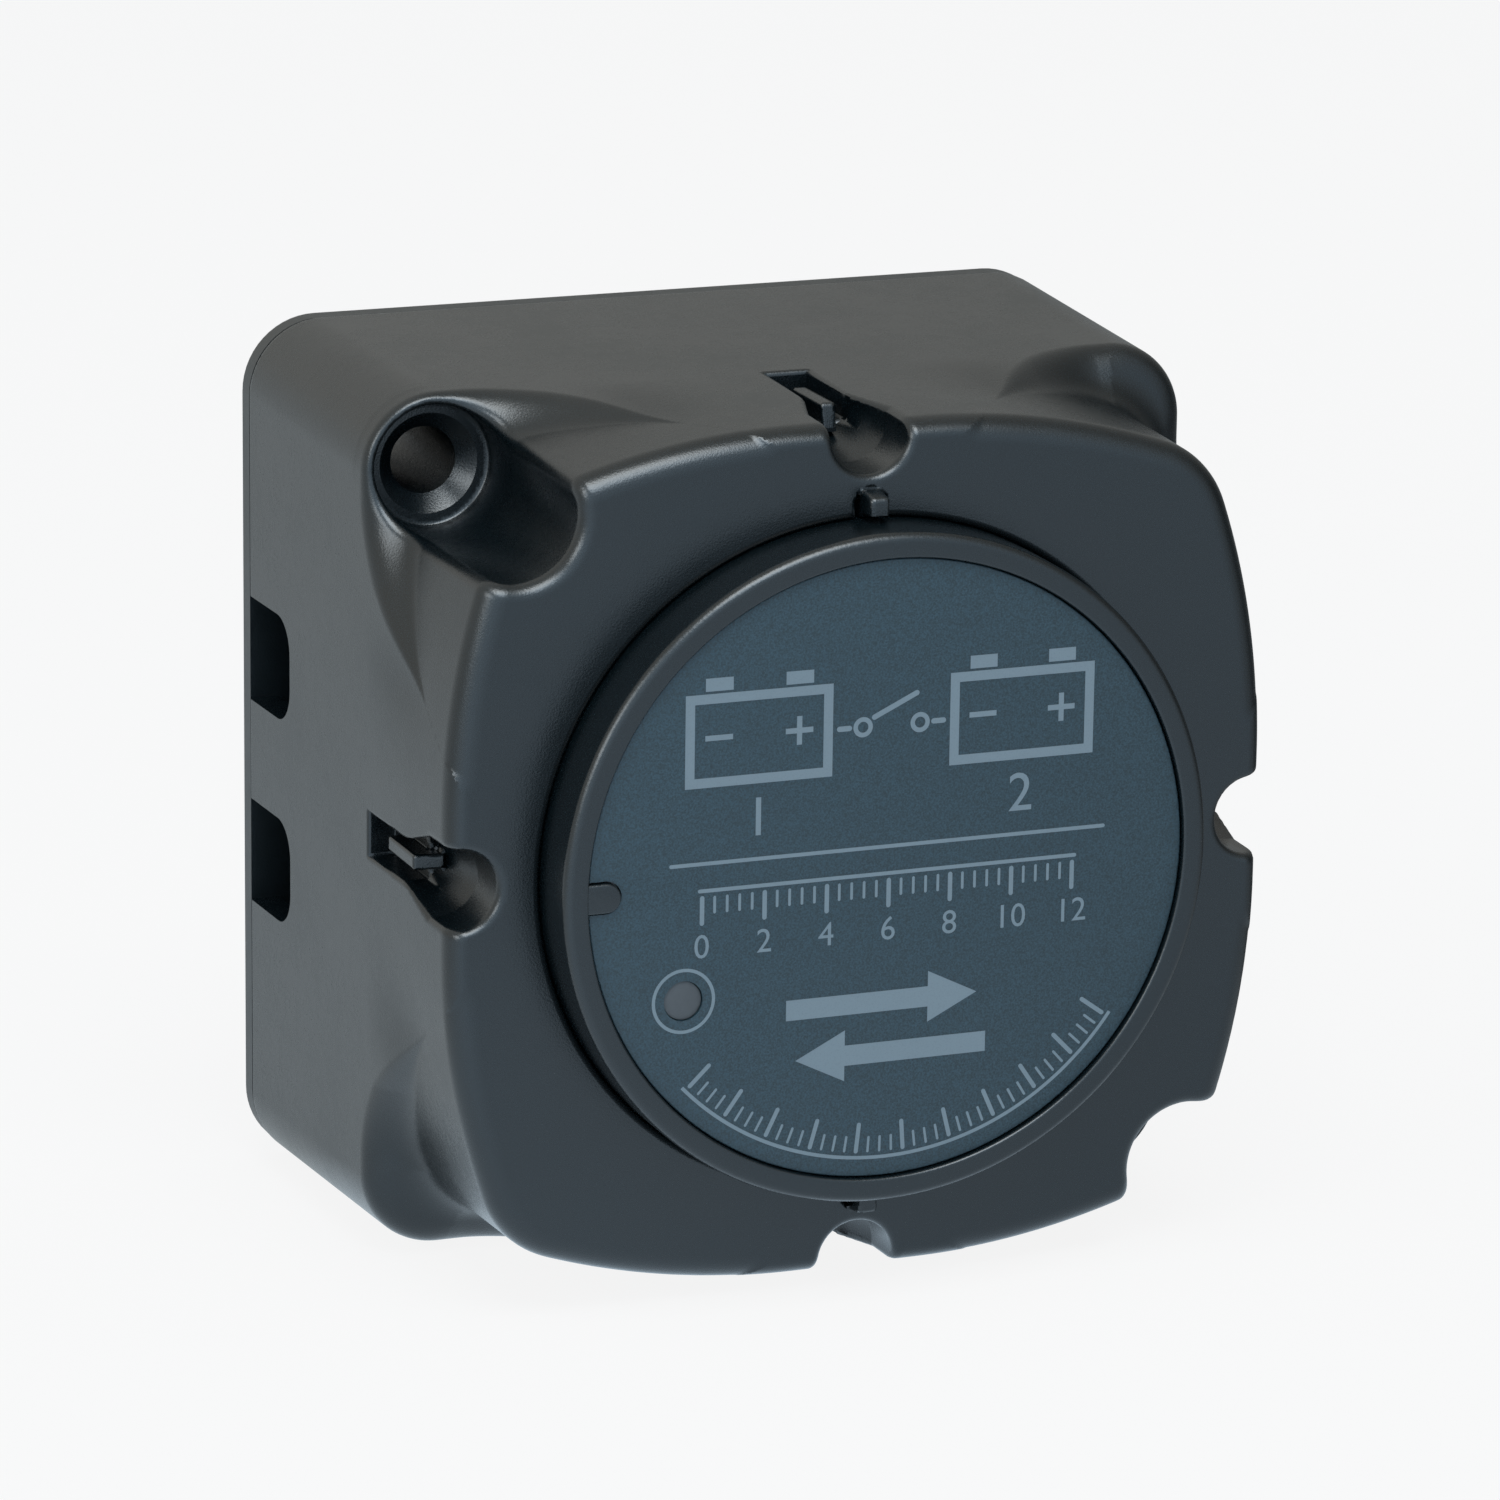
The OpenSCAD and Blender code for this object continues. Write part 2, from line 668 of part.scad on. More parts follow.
module label_disc() {
    color([0.16, 0.2, 0.24]) face_up() translate([0, 0, face_d]) linear_extrude(height = label_t)
        difference() {
            circle(r = label_r);
            cap_tongue(label_gap);
            translate([led_x, led_y]) circle(r = led_r + label_gap / 2);
        }
}

module led_window() {
    color([0.45, 0.36, 0.33]) face_up() translate([led_x, led_y, 0])
        disc(led_r, face_d - cap_face_t, face_d + label_t);
}

// Copies at the three board screws
module at_standoffs() {
    for (s = [-1, 1]) translate([s * standoff_pos, standoff_y, 0]) children();
    translate([0, -standoff_y, 0]) children();
}

// Copies at the two posts that join the studs to the board
module at_sense() {
    translate([-sense_x, stud_y, 0]) children();
    translate([sense_x, -stud_y, 0]) children();
}

// Copies at the two pins of the coil
module at_pins() {
    for (s = [-1, 1]) rotate([0, 0, s * pin_angle]) translate([pin_x, 0, 0]) children();
}

module circuit_board() {
    color([0.07, 0.3, 0.16]) face_up() difference() {
        disc(board_r, board_d, board_front_d);
        at_standoffs() disc(small_screw_r + thread_clear, 0, body_w);
        at_sense() disc(sense_r + thread_clear, 0, body_w);
        at_pins() disc(pin_r + thread_clear, 0, body_w);
    }
}

module status_led() {
    top = face_d - cap_face_t - seat_clear;
    color([0.9, 0.2, 0.15]) face_up() translate([led_x, led_y, 0]) union() {
        disc(led_r + play, board_front_d, board_front_d + res_t);
        disc(led_r, board_front_d, top - led_r / 2);
        translate([0, 0, top - led_r / 2]) cylinder(r1 = led_r, r2 = led_r / 2, h = led_r / 2);
    }
}

// Chip body with a row of leads on each side
module controller_chip() {
    color([0.08, 0.08, 0.09]) face_up() translate([chip_x, chip_y, board_front_d]) union() {
        translate([-chip_w / 2, -chip_h / 2 + res_t, lead_t])
            cube([chip_w, chip_h - 2 * res_t, chip_t - lead_t]);
        for (i = [-2, -1, 0, 1, 2], s = [-1, 1])
            translate([i * pin_row_pitch - lead_t, s * (chip_h / 2 - res_t / 2) - res_t, 0])
                cube([2 * lead_t, 2 * res_t, 2 * lead_t]);
    }
}

module driver_transistor() {
    color([0.1, 0.1, 0.1]) face_up() translate([driver_x, driver_y, board_front_d]) union() {
        translate([-driver_w / 2, -driver_w / 2, lead_t]) cube([driver_w, driver_w, driver_t - lead_t]);
        translate([-driver_w / 2 + bevel, driver_w / 2 - bevel, 0])
            cube([driver_w - 2 * bevel, driver_tab_l, 2 * lead_t]);
        for (s = [-1, 1]) translate([s * driver_w / 3 - bevel, -driver_w / 2 - driver_tab_l, 0])
            cube([2 * bevel, driver_tab_l + bevel, 2 * lead_t]);
    }
}

module board_capacitor() {
    color([0.75, 0.6, 0.2]) face_up() translate([cap_part_x, cap_part_y, board_front_d]) union() {
        translate([-cap_part_l / 2, -cap_part_w / 2, lead_t])
            cube([cap_part_l, cap_part_w, cap_part_t - lead_t]);
        for (s = [-1, 1]) translate([s * (cap_part_l / 2 - bevel) - bevel, -cap_part_w / 4, 0])
            cube([2 * bevel, cap_part_w / 2, 2 * lead_t]);
    }
}

module board_resistors() {
    color([0.12, 0.12, 0.13]) face_up() for (i = [0, 1, 2, 3])
        translate([res_x - res_l / 2, res_y + i * res_pitch - res_w / 2, board_front_d])
            cube([res_l, res_w, res_t]);
}

module board_standoffs() {
    color([0.8, 0.65, 0.3]) face_up() at_standoffs()
        ring(standoff_r, small_screw_r + thread_clear, frame_d, board_d);
}

// Cross recess cut from a screw's head, whose top is at this depth
module cross_slot(r, d) {
    for (a = [0, 90]) rotate([0, 0, a])
        translate([-r * socket_r_share, -r / 8, d - r / 3]) cube([2 * r * socket_r_share, r / 4, r]);
}

module board_screws() {
    color([0.75, 0.76, 0.78]) face_up() at_standoffs() difference() {
        union() {
            disc(small_screw_r, frame_d - plate_t + bevel, board_front_d + small_head_t / 2);
            disc(small_head_r, board_front_d, board_front_d + small_head_t);
        }
        cross_slot(small_head_r, board_front_d + small_head_t);
    }
}

module sense_posts() {
    color([0.82, 0.6, 0.3]) face_up() at_sense() disc(sense_r, pad_d, board_front_d + res_t);
}

module coil_pins() {
    color([0.8, 0.8, 0.82]) face_up() at_pins() disc(pin_r, coil_front_d, board_front_d + res_t);
}

module coil_bobbin() {
    color([0.85, 0.83, 0.76]) face_up() difference() {
        union() {
            disc(bobbin_r, coil_d, coil_d + bobbin_t);
            disc(bobbin_r, coil_front_d - bobbin_t, coil_front_d);
            disc(tube_r, coil_d, coil_front_d);
        }
        disc(bobbin_bore_r, coil_d - eps, coil_front_d + eps);
    }
}

module coil_winding() {
    color([0.62, 0.3, 0.14]) face_up()
        ring(coil_r, tube_r + play, coil_d + bobbin_t + play, coil_front_d - bobbin_t - play);
}

// Front plate with a leg above and below, and a tenon on each leg
module yoke_frame() {
    color([0.6, 0.61, 0.63]) face_up() difference() {
        union() {
            translate([-plate_x, -plate_y, frame_d - plate_t]) cube([2 * plate_x, 2 * plate_y, plate_t]);
            for (s = [0, 1]) mirror([0, s, 0]) {
                translate([-plate_x, plate_y - plate_t, end_plate_d + plate_t])
                    cube([2 * plate_x, plate_t, frame_d - end_plate_d - plate_t]);
                translate([-tenon_w / 2, plate_y - plate_t, end_plate_d])
                    cube([tenon_w, plate_t, frame_d - end_plate_d]);
            }
        }
        disc(plunger_r + seat_clear, 0, body_w);
        at_standoffs() disc(small_screw_r + thread_clear, 0, body_w);
    }
}

// Copies at the two posts that carry the relay
module at_posts() {
    translate([post_x, post_y, 0]) children();
    translate([-post_x, -post_y, 0]) children();
}

module end_plate() {
    color([0.6, 0.61, 0.63]) face_up() difference() {
        translate([-plate_x, -plate_y, end_plate_d]) cube([2 * plate_x, 2 * plate_y, plate_t]);
        for (s = [0, 1]) mirror([0, s, 0])
            translate([-tenon_w / 2 - thread_clear, plate_y - plate_t - thread_clear, 0])
                cube([tenon_w + 2 * thread_clear, body_w, body_w]);
        disc(spigot_r + thread_clear, 0, body_w);
        at_posts() disc(screw_r + thread_clear, 0, body_w);
    }
}

module fixed_core() {
    color([0.66, 0.67, 0.69]) face_up() difference() {
        union() {
            disc(spigot_r, end_plate_d, core_front_d);
            disc(core_r, end_plate_d + plate_t, core_front_d);
        }
        disc(rod_r + run_clear, 0, body_w);
        disc(pocket_r, core_front_d - pocket_d, body_w);
    }
}

module plunger() {
    color([0.72, 0.73, 0.75]) face_up() difference() {
        union() {
            disc(plunger_r, plunger_rear_d, plunger_front_d - bevel);
            translate([0, 0, plunger_front_d - bevel])
                cylinder(r1 = plunger_r, r2 = plunger_r - bevel, h = bevel);
        }
        disc(rod_r + thread_clear, 0, plunger_front_d - pocket_d);
        disc(pocket_r, 0, plunger_rear_d + pocket_d);
    }
}

module plunger_rod() {
    color([0.8, 0.81, 0.83]) face_up() difference() {
        union() {
            disc(rod_r, rod_rear_d + bevel, plunger_front_d - pocket_d - play);
            translate([0, 0, rod_rear_d]) cylinder(r1 = rod_r - bevel, r2 = rod_r, h = bevel);
        }
        ring(rod_r + eps, rod_r - bevel, clip_d - play / 2, clip_d + clip_t + play / 2);
    }
}

// Round wire on a helix between two depths
module wire_helix(r, wr, turns, d0, d1) {
    n = ceil(turns * spring_steps);
    lift = d1 - d0 - 2 * wr;
    points = [for (i = [0 : n], k = [0 : spring_sides - 1])
        let (a = 360 * turns * i / n, b = 360 * k / spring_sides, q = r + wr * cos(b))
        [q * cos(a), q * sin(a), d0 + wr + lift * i / n + wr * sin(b)]];
    walls = [for (i = [0 : n - 1], k = [0 : spring_sides - 1], h = [0, 1])
        let (a = i * spring_sides + k, b = i * spring_sides + (k + 1) % spring_sides)
        h == 0 ? [a, b, a + spring_sides] : [b, b + spring_sides, a + spring_sides]];
    ends = [[for (k = [spring_sides - 1 : -1 : 0]) k],
        [for (k = [0 : spring_sides - 1]) n * spring_sides + k]];
    polyhedron(points = points, faces = concat(walls, ends));
}

module return_spring() {
    color([0.78, 0.79, 0.8]) face_up() wire_helix(return_coil_r, wire_r, return_turns,
        core_front_d - pocket_d + play / 2, plunger_rear_d + pocket_d - play / 2);
}

module spring_collar() {
    color([0.7, 0.71, 0.73]) face_up() ring(collar_r, rod_r + thread_clear, collar_d, collar_d + collar_t);
}

module contact_spring() {
    color([0.78, 0.79, 0.8]) face_up() wire_helix(contact_coil_r, wire_r, contact_turns,
        bridge_d + bridge_t + bush_flange_t + play, collar_d - play / 2);
}

// Open ring in the rod's groove
module retaining_clip() {
    color([0.3, 0.31, 0.33]) face_up() difference() {
        ring(clip_r, rod_r - bevel + thread_clear, clip_d, clip_d + clip_t);
        translate([0, -rod_r + bevel, clip_d - eps]) cube([2 * clip_r, 2 * (rod_r - bevel), 2 * clip_t + eps]);
    }
}

// Flanged bush through the bridge, and the washer under the contact spring
module rod_insulator() {
    color([0.82, 0.2, 0.16]) face_up() union() {
        ring(bush_r, rod_r + run_clear, bridge_d - bush_flange_t, bridge_d + bridge_t);
        ring(bush_flange_r, rod_r + run_clear, bridge_d - bush_flange_t, bridge_d);
        ring(bush_flange_r, rod_r + run_clear, bridge_d + bridge_t + thread_clear,
            bridge_d + bridge_t + bush_flange_t);
    }
}

module contact_bridge() {
    color([0.85, 0.48, 0.3]) face_up() rotate([0, 0, stud_angle])
        translate([0, 0, bridge_d]) linear_extrude(height = bridge_t) difference() {
            union() {
                square([2 * (stud_dist - bar_inset), bridge_w], center = true);
                for (s = [-1, 1]) translate([s * (stud_dist - bar_inset), 0]) circle(r = bridge_w / 2);
            }
            circle(r = bush_r + thread_clear);
        }
}

module moving_contacts() {
    color([0.86, 0.86, 0.85]) face_up() at_studs() union() {
        translate([0, 0, moving_face_d])
            cylinder(r1 = moving_pad_r - bevel / 2, r2 = moving_pad_r, h = bevel / 2);
        disc(moving_pad_r, moving_face_d + bevel / 2, bridge_d);
    }
}

module fixed_contacts() {
    color([0.86, 0.86, 0.85]) face_up() at_studs() union() {
        disc(fixed_pad_r, pad_d, fixed_face_d - bevel / 2);
        translate([0, 0, fixed_face_d - bevel / 2])
            cylinder(r1 = fixed_pad_r, r2 = fixed_pad_r - bevel / 2, h = bevel / 2);
    }
}

// Stud with a bevelled tip and a contact head with two flats
module stud() {
    union() {
        translate([0, 0, stud_tip_d]) cylinder(r1 = stud_r - stud_bevel, r2 = stud_r, h = stud_bevel);
        disc(stud_r, stud_tip_d + stud_bevel, head_d + bevel);
        intersection() {
            disc(stud_head_r, head_d, pad_d);
            translate([-stud_head_r, -stud_head_r * stud_flat_share, 0])
                cube([2 * stud_head_r, 2 * stud_head_r * stud_flat_share, body_w]);
        }
    }
}

module input_stud() {
    color([0.86, 0.72, 0.5]) face_up() translate([-stud_x, stud_y, 0]) stud();
}

module output_stud() {
    color([0.86, 0.72, 0.5]) face_up() translate([stud_x, -stud_y, 0]) stud();
}

module terminal_base() {
    color([0.16, 0.13, 0.12]) face_up() difference() {
        union() {
            translate([0, 0, base_d]) linear_extrude(height = base_t)
                cavity_outline(cavity_half - seat_clear, cavity_r, seat_clear);
            translate([-barrier_len, -barrier_t / 2, barrier_rear_d])
                cube([2 * barrier_len, barrier_t, base_d - barrier_rear_d + eps]);
            at_posts() disc(post_r, base_d, end_plate_d);
        }
        at_studs() disc(stud_r + thread_clear, 0, body_w);
        at_sides() translate([base_screw_pos, 0, 0]) disc(screw_r + play, 0, body_w);
        at_posts() disc(screw_r + play, 0, body_w);
    }
}

module base_gasket() {
    color([0.05, 0.05, 0.05]) face_up() translate([0, 0, base_d + base_t])
        linear_extrude(height = gasket_t) difference() {
            cavity_outline(cavity_half - seat_clear / 2, cavity_r, seat_clear / 2);
            cavity_outline(inner_half, cavity_r, gasket_w);
        }
}

// Screw with its head's rear face at depth 0 of its own
module pan_screw(length) {
    difference() {
        union() {
            disc(screw_head_r, 0, screw_head_t);
            disc(screw_r, screw_head_t / 2, screw_head_t + length);
        }
        for (a = [0, 90]) rotate([0, 0, a])
            translate([-screw_head_r * socket_r_share, -bevel, -eps])
                cube([2 * screw_head_r * socket_r_share, 2 * bevel, screw_head_t / 2 + eps]);
    }
}

module base_screws() {
    color([0.72, 0.73, 0.74]) face_up() at_sides()
        translate([base_screw_pos, 0, base_d - screw_head_t]) pan_screw(base_screw_len - play);
}

module frame_screws() {
    color([0.72, 0.73, 0.74]) face_up() at_posts() translate([0, 0, base_d - screw_head_t])
        pan_screw(end_plate_d + plate_t - base_d);
}

module stud_washers() {
    color([0.75, 0.76, 0.77]) face_up() at_studs()
        ring(washer_r, stud_r + seat_clear, base_d - washer_t, base_d);
}

module stud_spring_washers() {
    top = base_d - washer_t;
    color([0.7, 0.71, 0.72]) face_up() at_studs() difference() {
        ring(spring_washer_r, stud_r + seat_clear, top - spring_washer_t, top);
        rotate([0, 0, pin_angle])
            translate([0, -washer_gap / 2, 0]) cube([body_w, washer_gap, body_w]);
    }
}

// Hexagon nuts with bevelled corners
module stud_nuts() {
    top = base_d - washer_t - spring_washer_t;
    corner = nut_af / sqrt(3);
    fall = (corner + play - nut_af / 2) / 2;
    hexagon = [for (a = [0 : 60 : 300]) [corner * cos(a), corner * sin(a)]];
    color([0.76, 0.77, 0.78]) face_up() at_studs() difference() {
        translate([0, 0, top - nut_h]) linear_extrude(height = nut_h) polygon(hexagon);
        difference() {
            disc(2 * nut_af, top - nut_h - eps, top - nut_h + fall);
            translate([0, 0, top - nut_h - eps])
                cylinder(r1 = nut_af / 2 - 2 * eps, r2 = corner + play, h = fall + eps);
        }
        disc(stud_r + thread_clear, 0, body_w);
    }
}

// Countersunk screws flush with the rear cover
module cover_screws() {
    color([0.6, 0.61, 0.63]) face_up() at_bosses() difference() {
        union() {
            translate([0, 0, play]) cylinder(r1 = screw_head_r, r2 = screw_r, h = cover_t - bevel);
            disc(screw_r, cover_t / 2, cover_t + cover_screw_len - play);
        }
        for (a = [0, 90]) rotate([0, 0, a])
            translate([-screw_head_r * socket_r_share, -bevel, -eps])
                cube([2 * screw_head_r * socket_r_share, 2 * bevel, cover_t / 2 + eps]);
    }
}

housing();
rear_cover();
round_cap();
label_disc();
led_window();
circuit_board();
status_led();
controller_chip();
driver_transistor();
board_capacitor();
board_resistors();
board_standoffs();
board_screws();
sense_posts();
coil_pins();
coil_bobbin();
coil_winding();
yoke_frame();
end_plate();
fixed_core();
plunger();
plunger_rod();
return_spring();
spring_collar();
contact_spring();
retaining_clip();
rod_insulator();
contact_bridge();
moving_contacts();
fixed_contacts();
input_stud();
output_stud();
terminal_base();
base_gasket();
base_screws();
frame_screws();
stud_washers();
stud_spring_washers();
stud_nuts();
cover_screws();
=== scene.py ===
"""Looks of the battery isolator relay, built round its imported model.

All places are in the object's own frame: X to the right, Z up, the mounting plane at
Y = 0 and the front towards -Y. Sizes in the classes are millimetres, and depth is the
distance from the mounting plane; pieces are handed over in metres.
"""
import logging
import math
from contextlib import contextmanager
from dataclasses import dataclass, field
from enum import Enum
from typing import Iterator, Sequence

import bpy
import numpy as np
from mathutils import Matrix, Vector


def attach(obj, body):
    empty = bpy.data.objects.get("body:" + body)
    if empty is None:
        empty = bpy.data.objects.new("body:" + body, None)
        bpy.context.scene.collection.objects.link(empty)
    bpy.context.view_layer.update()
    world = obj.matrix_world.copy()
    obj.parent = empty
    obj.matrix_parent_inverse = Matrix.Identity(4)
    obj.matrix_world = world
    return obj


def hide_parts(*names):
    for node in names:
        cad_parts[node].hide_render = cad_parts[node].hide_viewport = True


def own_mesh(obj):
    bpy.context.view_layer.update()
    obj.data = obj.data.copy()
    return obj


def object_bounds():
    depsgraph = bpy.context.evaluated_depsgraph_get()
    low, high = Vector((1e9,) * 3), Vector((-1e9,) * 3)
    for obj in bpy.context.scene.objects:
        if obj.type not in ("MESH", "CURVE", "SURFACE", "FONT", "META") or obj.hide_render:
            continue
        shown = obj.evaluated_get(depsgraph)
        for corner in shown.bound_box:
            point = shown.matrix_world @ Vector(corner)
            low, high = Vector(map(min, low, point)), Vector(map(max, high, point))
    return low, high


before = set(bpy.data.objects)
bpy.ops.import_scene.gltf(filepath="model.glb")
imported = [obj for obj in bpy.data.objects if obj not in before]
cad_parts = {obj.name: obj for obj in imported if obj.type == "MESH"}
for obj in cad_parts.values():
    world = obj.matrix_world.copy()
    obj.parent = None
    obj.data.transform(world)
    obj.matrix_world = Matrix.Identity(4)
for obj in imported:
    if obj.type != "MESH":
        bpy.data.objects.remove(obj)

CAD_BOX = [list(corner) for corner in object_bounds()]
MM = 0.001
LOG = logging.getLogger("relay")
Colour = tuple[float, float, float]
Point2 = tuple[float, float]
Array = np.ndarray
Piece = bpy.types.Object
Material = bpy.types.Material


# ---------------------------------------------------------------- shader bench


class Wire:
    """An output socket that takes part in Python sums."""

    def __init__(self, bench: "Bench", socket: bpy.types.NodeSocket) -> None:
        """Keep the socket and the bench it belongs to."""
        self.bench = bench
        self.socket = socket

    def __add__(self, other: "Wire | float") -> "Wire":
        """Sum."""
        return self.bench.maths("ADD", self, other)

    def __radd__(self, other: float) -> "Wire":
        """Reflected sum."""
        return self.bench.maths("ADD", other, self)

    def __sub__(self, other: "Wire | float") -> "Wire":
        """Difference."""
        return self.bench.maths("SUBTRACT", self, other)

    def __rsub__(self, other: float) -> "Wire":
        """Reflected difference."""
        return self.bench.maths("SUBTRACT", other, self)

    def __mul__(self, other: "Wire | float") -> "Wire":
        """Product."""
        return self.bench.maths("MULTIPLY", self, other)

    def __rmul__(self, other: float) -> "Wire":
        """Reflected product."""
        return self.bench.maths("MULTIPLY", other, self)

    def __truediv__(self, other: "Wire | float") -> "Wire":
        """Quotient."""
        return self.bench.maths("DIVIDE", self, other)


class Bench:
    """One material's or the world's node tree, and the few calls that fill it."""

    def __init__(self, tree: bpy.types.NodeTree) -> None:
        """Take an empty tree."""
        self.tree = tree
        tree.nodes.clear()

    def node(
        self,
        kind: str,
        inputs: dict | None = None,
        settings: dict | None = None,
        out: int | str = 0,
    ) -> Wire:
        """Add a node.

        Args:
            kind: Blender's type of the node, without its "ShaderNode".
            inputs: values or wires by input name or place.
            settings: properties set first.
            out: name or place of the output that comes back.

        Returns:
            The chosen output.
        """
        made = self.tree.nodes.new("ShaderNode" + kind)
        for name, value in (settings or {}).items():
            setattr(made, name, value)
        for name, value in (inputs or {}).items():
            if isinstance(value, Wire):
                self.tree.links.new(value.socket, made.inputs[name])
            elif isinstance(value, tuple) and len(value) == 3 and made.inputs[name].type == "RGBA":
                made.inputs[name].default_value = (*value, 1)
            else:
                made.inputs[name].default_value = value
        return Wire(self, made.outputs[out])

    def maths(self, operation: str, *values: "Wire | float") -> Wire:
        """Add one Math node on the given values."""
        return self.node("Math", dict(enumerate(values)), {"operation": operation})

    def clamp(self, value: Wire, low: float = 0.0, high: float = 1.0) -> Wire:
        """Keep a value between two ends."""
        return self.node("Clamp", {"Value": value, "Min": low, "Max": high})

    def mix(self, factor: "Wire | float", a: "Wire | Colour", b: "Wire | Colour") -> Wire:
        """Blend two colours."""
        return self.node("Mix", {0: factor, 6: a, 7: b}, {"data_type": "RGBA"}, out=2)

    def place(self) -> Wire:
        """Object coordinates."""
        return self.node("TexCoord", out="Object")

    def noise(self, at: Wire, size: float, detail: float = 2.0, rough: float = 0.5) -> Wire:
        """Noise whose features are about size millimetres."""
        inputs = {"Vector": at, "Scale": 1 / (size * MM), "Detail": detail, "Roughness": rough}
        return self.node("TexNoise", inputs)

    def cells(self, at: Wire, size: float, out: str = "Distance") -> Wire:
        """Voronoi cells of about size millimetres."""
        return self.node("TexVoronoi", {"Vector": at, "Scale": 1 / (size * MM)}, out=out)

    def bump(self, height: Wire, depth: float, strength: float = 1.0) -> Wire:
        """Bump of depth millimetres."""
        inputs = {"Height": height, "Distance": depth * MM, "Strength": strength}
        return self.node("Bump", inputs)

    def surface(self, **sockets: "Wire | float | Colour") -> None:
        """Finish with a Principled surface."""
        named = {key.replace("_", " "): value for key, value in sockets.items()}
        shader = self.node("BsdfPrincipled", named)
        self.node_output(shader)

    def node_output(self, shader: Wire) -> None:
        """Join a shader to the material's output."""
        end = self.tree.nodes.new("ShaderNodeOutputMaterial")
        self.tree.links.new(shader.socket, end.inputs["Surface"])


def new_bench(name: str) -> tuple[Material, Bench]:
    """Make a material with an empty bench."""
    material = bpy.data.materials.new(name)
    material.use_nodes = True
    return material, Bench(material.node_tree)


# ---------------------------------------------------------------- finishes


def toned(colour: Colour, factor: float) -> Colour:
    """Colour made lighter or darker."""
    return tuple(c * factor for c in colour)


@dataclass(frozen=True)
class MouldedPlastic:
    """Satin moulded plastic with a fine spark-eroded grain."""

    name: str
    colour: Colour
    roughness: float = 0.4
    grain: float = 0.11
    grain_depth: float = 0.013
    mottle: float = 0.12

    def make(self) -> Material:
        """Build the material."""
        material, bench = new_bench(self.name)
        at = bench.place()
        grain = bench.noise(at, self.grain, 3.0, 0.6)
        pits = bench.cells(at, self.grain * 1.6)
        flow = bench.noise(at, 9.0, 3.0, 0.55)
        scuffs = bench.noise(at, 1.6, 4.0, 0.65)
        dark = toned(self.colour, 1 - self.mottle)
        light = toned(self.colour, 1 + self.mottle)
        tone = bench.mix(bench.clamp(flow * 1.6 - 0.3), dark, light)
        tips = bench.clamp(grain * 1.8 - 0.6) * 0.35
        tone = bench.mix(tips, tone, toned(self.colour, 1.5))
        rough = self.roughness + (flow - 0.5) * 0.10 + (scuffs - 0.5) * 0.08 + (grain - 0.5) * 0.12
        normal = bench.bump(grain * 0.7 + pits * 0.5, self.grain_depth)
        bench.surface(Base_Color=tone, Roughness=rough, Normal=normal, IOR=1.5)
        return material


@dataclass(frozen=True)
class LabelFilm:
    """Printed polyester film with a fine sandy matt texture."""

    name: str
    colour: Colour
    roughness: float = 0.5

    def make(self) -> Material:
        """Build the material."""
        material, bench = new_bench(self.name)
        at = bench.place()
        sand = bench.noise(at, 0.13, 2.0, 0.7)
        cells = bench.cells(at, 0.22)
        flow = bench.noise(at, 12.0, 2.0)
        dark = toned(self.colour, 0.45)
        light = toned(self.colour, 1.75)
        tone = bench.mix(bench.clamp((sand - 0.5) * 3.0 + 0.5), dark, light)
        tone = bench.mix(bench.clamp(flow - 0.2) * 0.25, tone, self.colour)
        rough = self.roughness + (sand - 0.5) * 0.2
        normal = bench.bump(sand + cells * 0.6, 0.016)
        bench.surface(Base_Color=tone, Roughness=rough, Normal=normal, IOR=1.5)
        return material


@dataclass(frozen=True)
class PrintInk:
    """Screen-printed ink, a little thin where the film's sand shows through."""

    name: str
    colour: Colour

    def make(self) -> Material:
        """Build the material."""
        material, bench = new_bench(self.name)
        at = bench.place()
        sand = bench.noise(at, 0.15, 2.0, 0.7)
        thin = bench.clamp((0.5 - sand) * 3.0)
        tone = bench.mix(thin * 0.4, self.colour, toned(self.colour, 0.62))
        normal = bench.bump(sand, 0.008)
        bench.surface(Base_Color=tone, Roughness=0.55 + (sand - 0.5) * 0.2, Normal=normal)
        return material


class Tooling(Enum):
    """How a metal's surface was made."""

    TURNED = "turned"
    ROLLED = "rolled"
    PLATED = "plated"


@dataclass(frozen=True)
class Metal:
    """Metal with the marks of its making and a little handling wear."""

    name: str
    colour: Colour
    roughness: float
    tooling: Tooling = Tooling.PLATED
    tarnish: Colour = (0.25, 0.2, 0.15)
    tarnish_share: float = 0.15

    def make(self) -> Material:
        """Build the material."""
        material, bench = new_bench(self.name)
        at = bench.place()
        stretch = {
            Tooling.TURNED: (1.0, 14.0, 1.0),
            Tooling.ROLLED: (1.0, 1.0, 18.0),
            Tooling.PLATED: (1.0, 1.0, 1.0),
        }[self.tooling]
        along = bench.node("Mapping", {"Vector": at, "Scale": stretch})
        marks = bench.noise(along, 0.5, 4.0, 0.6)
        cloud = bench.noise(at, 3.0, 4.0, 0.6)
        spots = bench.clamp(bench.noise(at, 1.1, 3.0) * 4.0 - 2.2)
        tone = bench.mix(spots * self.tarnish_share, self.colour, self.tarnish)
        tone = bench.mix(bench.clamp(cloud - 0.3) * 0.3, tone, toned(self.colour, 0.8))
        rough = self.roughness + (cloud - 0.5) * 0.15 + (marks - 0.5) * 0.12
        normal = bench.bump(marks, 0.006)
        bench.surface(Base_Color=tone, Metallic=1.0, Roughness=rough, Normal=normal)
        return material


